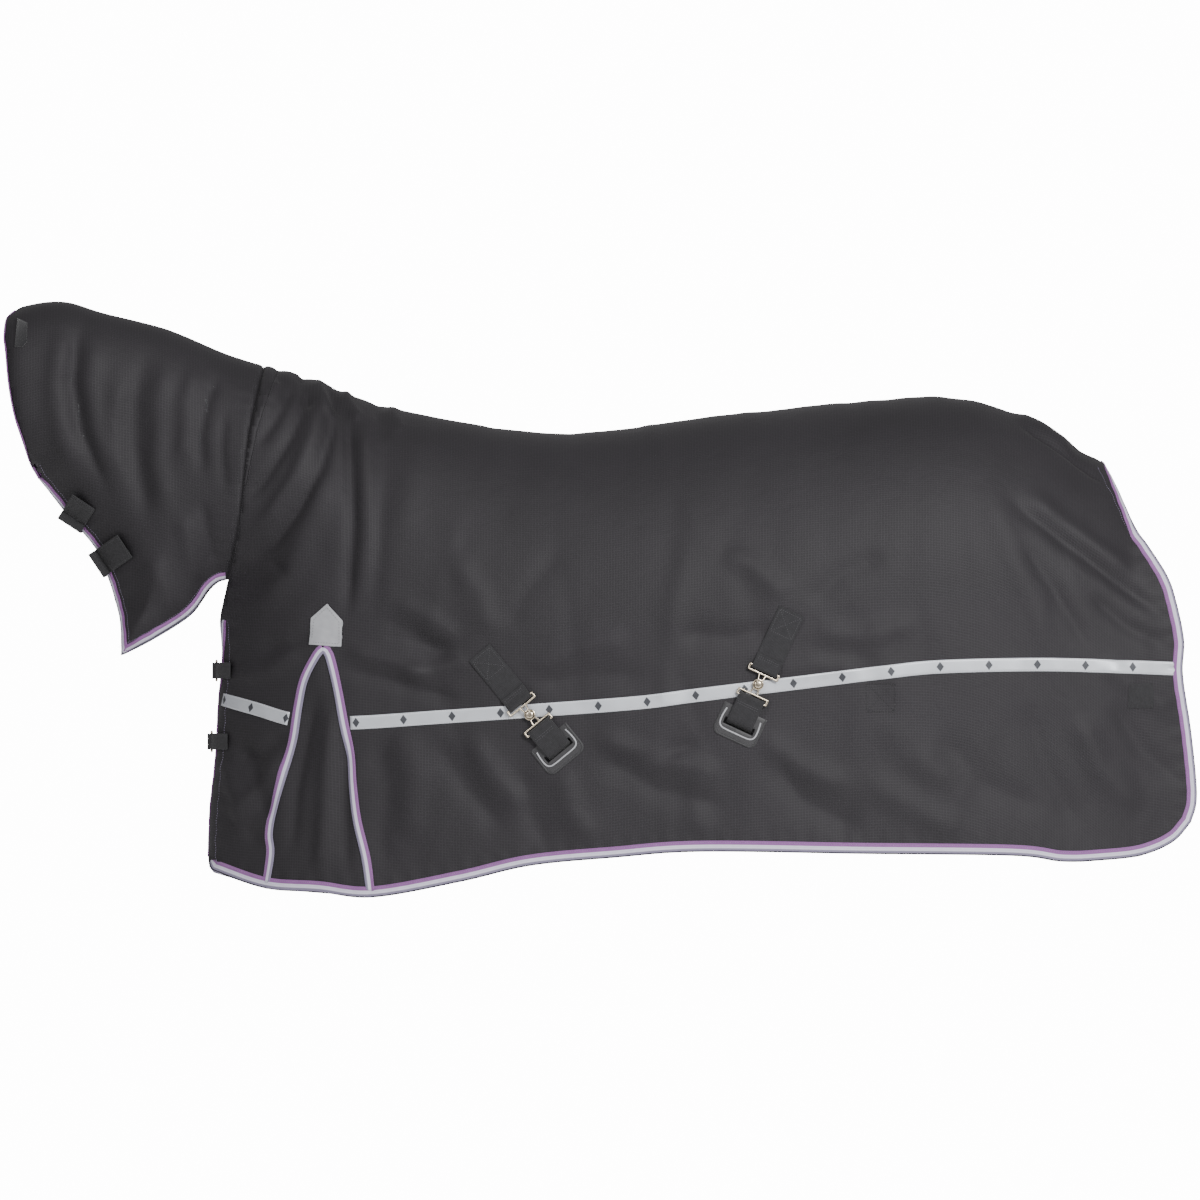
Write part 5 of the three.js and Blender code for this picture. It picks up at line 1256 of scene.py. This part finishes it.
    # the belly strap: its end doubled back over the bar, down through the slot and across to the far side
    near = [(span + 22, -2.2), (span + 12, -1.9), (span, -LOOP), (span - LOOP * 0.7, -LOOP * 0.7),
            (span - LOOP, 0), (span - LOOP * 0.7, LOOP * 0.7), (span, LOOP), (span + 12, 1.5), (span + 30, 0.2),
            (slot - 10, -2.2), (slot - 2, -7.5), (slot + 2, -17.5), (slot + 3, -25.5)]
    belly = {
        "front": [(40, -262, -655), (95, -150, -715), (165, 0, -742), (240, 150, -715), (300, 255, -640)],
        "rear": [(290, -262, -655), (235, -150, -703), (165, 0, -726), (80, 150, -703), (20, 255, -640)],
    }[name]
    end_x, end_z = {"front": (330, -520), "rear": (-10, -520)}[name]
    scale = np.array([stretch_x, stretch_y, stretch_z]) * MM
    far = [np.array(p) * scale + (0, 0, STACK * MM) for p in belly]
    for dz, clear in ((-50, 4.4), (-25, 2.4), (0, 1.7), (22, 1.7), (45, 1.7)):
        points, _ = skin(np.array([end_x - 24, end_x, end_x + 24]), end_z + dz, -9.7)
        points = points * mirrored("right")
        far.append(np.array([points[1][0], points[:, 1].min() - clear * MM, points[1][2]]))
    route = [at(a, 0, n) for a, n in near] + far
    toward = np.array([-1.0, 0, 0])
    first = across * (1 if np.dot(across, toward) >= 0 else -1)
    shares = np.clip((np.arange(len(route)) - len(near) + 1) / 4, 0, 1)[:, None]
    strap(f"{name}_belly_strap_webbing", route, first * (1 - shares) + toward * shares, WEBBING_WIDTH, webbing,
          "rug", f"{name}_belly_strap")
    lines = [np.array([at(span + a, c, 2.65) for c in np.linspace(-22, 22, 12)]) for a in (13, 17)]
    runs = [(line, np.broadcast_to(out, line.shape)) for line in lines]
    sewn(f"{name}_belly_strap_stitches", runs, grey_thread)

# ---- chest closures ----
# Two wire buckles on webbing chapes sewn to the left breast; the billets come from the right breast, pass under
# the first bar, over the second with the tongue through them, and lie over the left side.
left_body = bpy.data.objects["body_outer_left_cloth"].data
breast = BVHTree.FromPolygons([v.co for v in left_body.vertices], [list(f.vertices) for f in left_body.polygons])


def breast_front(y, z):
    """Where the front of the chest is, at a distance from the middle and a height in metres."""
    found = breast.ray_cast(Vector((-2, -max(abs(y), 0.012), z)), Vector((1, 0, 0)))[0]
    rim = np.interp(-(z / MM - STACK) / stretch_z, [-p[1] for p in CHEST], [p[0] for p in CHEST])
    return found.x if found else float(rim * stretch_x * MM)


for name in ("upper", "lower"):
    hinge = np.array(joints[f"{name}_buckle_hinge"]["pos_m"])
    flat, level = hinge[0] + 8 * MM, hinge[2]
    over = lambda y, n, dz=0.0: np.array([flat - n * MM, y * MM, level + dz * MM])
    fronts = {}

    def at(y, n, dz=0.0):
        if y not in fronts:
            fronts[y] = min(breast_front(y * MM, level + d * MM) for d in (-15, 0, 15))
        return np.array([fronts[y] - n * MM, y * MM, level + dz * MM])

    body = f"{name}_chest_buckle"
    corners = [(-16, -14), (-16, -17), (-14.5, -18.2), (-11, -18.4), (0, -18.4), (11, -18.4), (14.5, -18.2),
               (16, -17), (16, -14)]
    loop = corners + [(16, 0)] + [(-y, -z) for y, z in corners] + [(-16, 0)]
    wire(f"{name}_chest_buckle_frame", [over(y, 8, z) for y, z in loop], 2.1, nickel, body, body, closed=True)
    body = f"{name}_buckle_tongue"
    turned(f"{name}_buckle_tongue_eye", over(-16, 8), (0, 0, 1),
           [(2.6, -1.6), (3.1, -2.2), (4, -2.2), (4.5, -1.6), (4.5, 1.6), (4, 2.2), (3.1, 2.2), (2.6, 1.6)],
           nickel, body, body)
    wire(f"{name}_buckle_tongue_pin", [over(-12.3, 9.2), over(0, 11.0), over(12, 12.4), over(19, 12.3)], 1.9,
         nickel, body)
    b, loop_r = -16, 4.1
    up = np.array([0, 0, 1.0])
    laid = strap(f"{name}_chest_chape_webbing", [
        at(-78, 2.0), at(-60, 1.9), at(-40, 1.9), at(-26, 1.9), over(b - 1, 8 - loop_r), over(b + 2.9, 8 - 2.9),
        over(b + loop_r, 8), over(b + 2.9, 8 + 2.9), over(b - 1, 8 + loop_r), over(b - 10, 8.2), at(-38, 5.2)],
        up, 30, webbing, "rug", f"{name}_chest_chape")
    outward = 1 if laid[2][2][0] < 0 else -1
    sewn(f"{name}_chest_chape_stitches", sewn_box(laid, 0.02, 0.17, 11, outward), grey_thread)
    top = 8 + loop_r + 2.8
    laid = strap(f"{name}_chest_billet_webbing", [
        at(98, 1.9), at(84, 1.9), at(70, 1.9), at(56, 1.9), at(42, 1.9), over(24, 3), over(15, 3.4), over(9, 6),
        over(0, 9.6), over(b + 8, top - 0.6), over(b, top), over(b - 9, top - 1), at(-36, 9.4), at(-52, 9.6),
        at(-70, 7.6), at(-88, 4.6)],
        up, 30, webbing, "rug", f"{name}_chest_billet")
    outward = 1 if laid[2][2][0] < 0 else -1
    sewn(f"{name}_chest_billet_stitches", sewn_box(laid, 0.01, 0.22, 11, outward), grey_thread)

# ---- throat tabs ----
# Two tabs of webbing, sewn to the right edge of the throat, fold round to the left, where each sticks to a loop
# pad by the hooks under its end.
for name, (ex, ez), (ix, iz), length, rim in (("upper", (-908, -164), (0.546, 0.838), 42, 61.46),
                                              ("lower", (-855, -242), (0.832, 0.555), 56, 69.74)):

    def stands(a):
        spots = [(ex + ix * a + iz * w, ez + iz * a - ix * w) for w in (-24, -12, 0, 12, 24)]
        return max(-skin(np.array(x), np.array(z))[0][1] for x, z in spots) / MM

    def on(a, y):
        return np.array([(ex + ix * a) * stretch_x, y, (ez + iz * a) * stretch_z + STACK]) * MM

    places = [length, length * 0.8, length * 0.6, length * 0.4, length * 0.25, 6]
    left = [on(a, -stands(a) - 3.6) for a in places]
    turn = [on(-6, -rim + 3), on(-9, -rim + 10), on(-9.4, -rim + 30), on(-9.4, rim - 30), on(-9, rim - 10),
            on(-6, rim - 2.5), on(-2, rim)]
    direction = np.array([iz, 0, -ix])
    body = f"{name}_throat_tab"
    laid = strap(f"{name}_throat_tab_webbing", left + turn, direction, WEBBING_WIDTH, webbing, body, body)
    outward = 1 if laid[2][2][1] < 0 else -1
    h = WEBBING_WIDTH / 2 - 4
    count = len(left + turn) - 1
    runs = [on_strap(laid, 0.3 / count, 4 / count, c, c, side=outward) for c in (-h, h)]
    runs.append(on_strap(laid, 0.3 / count, 0.3 / count, -h, h, side=outward))
    sewn(f"{name}_throat_tab_stitches", runs, grey_thread, body)
    pad = [(ex + ix * a + iz * w, ez + iz * a - ix * w)
           for a, w in ((23, -23.5), (length - 2, -23.5), (length - 2, 23.5), (23, 23.5))]
    laid_piece(f"{name}_throat_pad_pile", "left", pad, 1.5, 1.2, loop_pile, f"{name}_throat_pad",
               spacing=4)

# ---- tail flap ----
# A bound ripstop flap hangs inside the rear edge, sewn up under the croup, with a little slack across it. It
# swings up and back with the tail.
flap_x, flap_foot, flap_half, flap_corner = 986 * stretch_x - 2, -430 * stretch_z, 95, 26
levels = np.linspace(-430, float(smooth(TOP, np.array(986.0))) - 1, 160)
inner, _ = skin(np.full(160, 986.0), levels, -9.7, crease=False)
half_at, height_at = -inner[:, 1] / MM, inner[:, 2] / MM
rows, columns = 46, 33


def flap_place(u, v):
    """u runs across from -1 to 1, v down from 0 to 1."""
    y = u * (flap_half - 1.5)
    top = float(np.interp(abs(y), half_at[::-1], height_at[::-1])) - 1.5
    over = max(abs(y) - (flap_half - flap_corner), 0)
    foot = flap_foot + STACK + flap_corner - math.sqrt(max(flap_corner**2 - over**2, 0)) + 1.5
    slack = 1.9 * math.sin(u * 6.3 + 0.7) * v + 1.1 * math.sin(u * 11.1 - 1.3 + v * 2.5) * v**2
    return np.array([flap_x + slack, y, top + (foot - top) * v]) * MM


grid = [[flap_place(u, v) for u in np.linspace(-1, 1, columns)] for v in np.linspace(0, 1, rows)]
flap = link("tail_flap_cloth", [p for row in grid for p in row],
            [(i * columns + j, i * columns + j + 1, (i + 1) * columns + j + 1, (i + 1) * columns + j)
             for i in range(rows - 1) for j in range(columns - 1)])
layer = flap.data.uv_layers.new(name="UVMap")
uv = np.array([flap.data.vertices[loop.vertex_index].co[1:] for loop in flap.data.loops])
layer.data.foreach_set("uv", uv.astype(np.float32).ravel())
solid = flap.modifiers.new("thickness", "SOLIDIFY")
solid.thickness, solid.offset = 2.4 * MM, 0
flap.data.materials.append(ripstop)
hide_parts("tail_flap")
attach(flap, "tail_flap")
edge = np.array([flap_place(-1, v) for v in np.linspace(0.02, 1, 50)]
                + [flap_place(u, 1) for u in np.linspace(-0.98, 0.98, 50)]
                + [flap_place(1, v) for v in np.linspace(1, 0.02, 50)])
tangent = unit(np.gradient(edge, axis=0))
facing = np.array([1.0, 0, 0])
inwards = unit(np.cross(facing, tangent))
inwards *= 1 if np.dot(inwards[75], (0, 0, 1)) > 0 else -1
fold = [(w, h + 1.2, u) for w, h, u in folded_braid(2.4)]
carried("tail_flap_binding_braid", edge, inwards, np.broadcast_to(facing, edge.shape), fold, braid,
        "tail_flap")

# ---- leg strap rings ----
# D rings on short webbing loops inside the flanks and the rear corners, sewn through where the squares show
# outside. They are bent from the same wire as the clasps and turn on their straight bar.
for name in ("flank", "rear"):
    for side in ("left", "right"):
        joint = joints[f"{name}_leg_ring_{side}_hinge"]
        bar, across = np.array(joint["pos_m"]), unit(np.array(joint["axis"], float))
        _, normal = skin(*(np.array(v) for v in side_place(bar)))
        out = -normal * mirrored(side)
        out = unit(out - across * np.dot(out, across))
        down = unit(np.cross(across, out))
        down *= -1 if down[2] > 0 else 1
        at = lambda a, c=0.0, n=0.0: bar + (down * a + across * c + out * n) * MM
        section = [(-38, -5.8), (-28, -5.8), (-18, -5.7), (-8, -5.4), (1, -4.2), (3.4, -2.9), (4.5, 0),
                   (3.4, 2.9), (0, 4.2), (-9, 0.8), (-24, -3.2)]
        strap(f"{name}_ring_tab_{side}_webbing", [at(a, 0, n) for a, n in section], across, 38, webbing, "rug",
              f"{name}_ring_tab_{side}")
        body = f"{name}_leg_ring_{side}"
        half = [(0, 6), (0, 14), (0, 20.5), (0.8, 22.4), (3, 23), (9, 23), (14, 22.4), (20, 20), (26, 15.5),
                (30, 10), (31.8, 4)]
        loop = half + [(a, -c) for a, c in reversed(half)]
        wire(f"{name}_leg_ring_{side}_wire", [at(a, c) for a, c in loop], 2.0, nickel, body, body, closed=True)
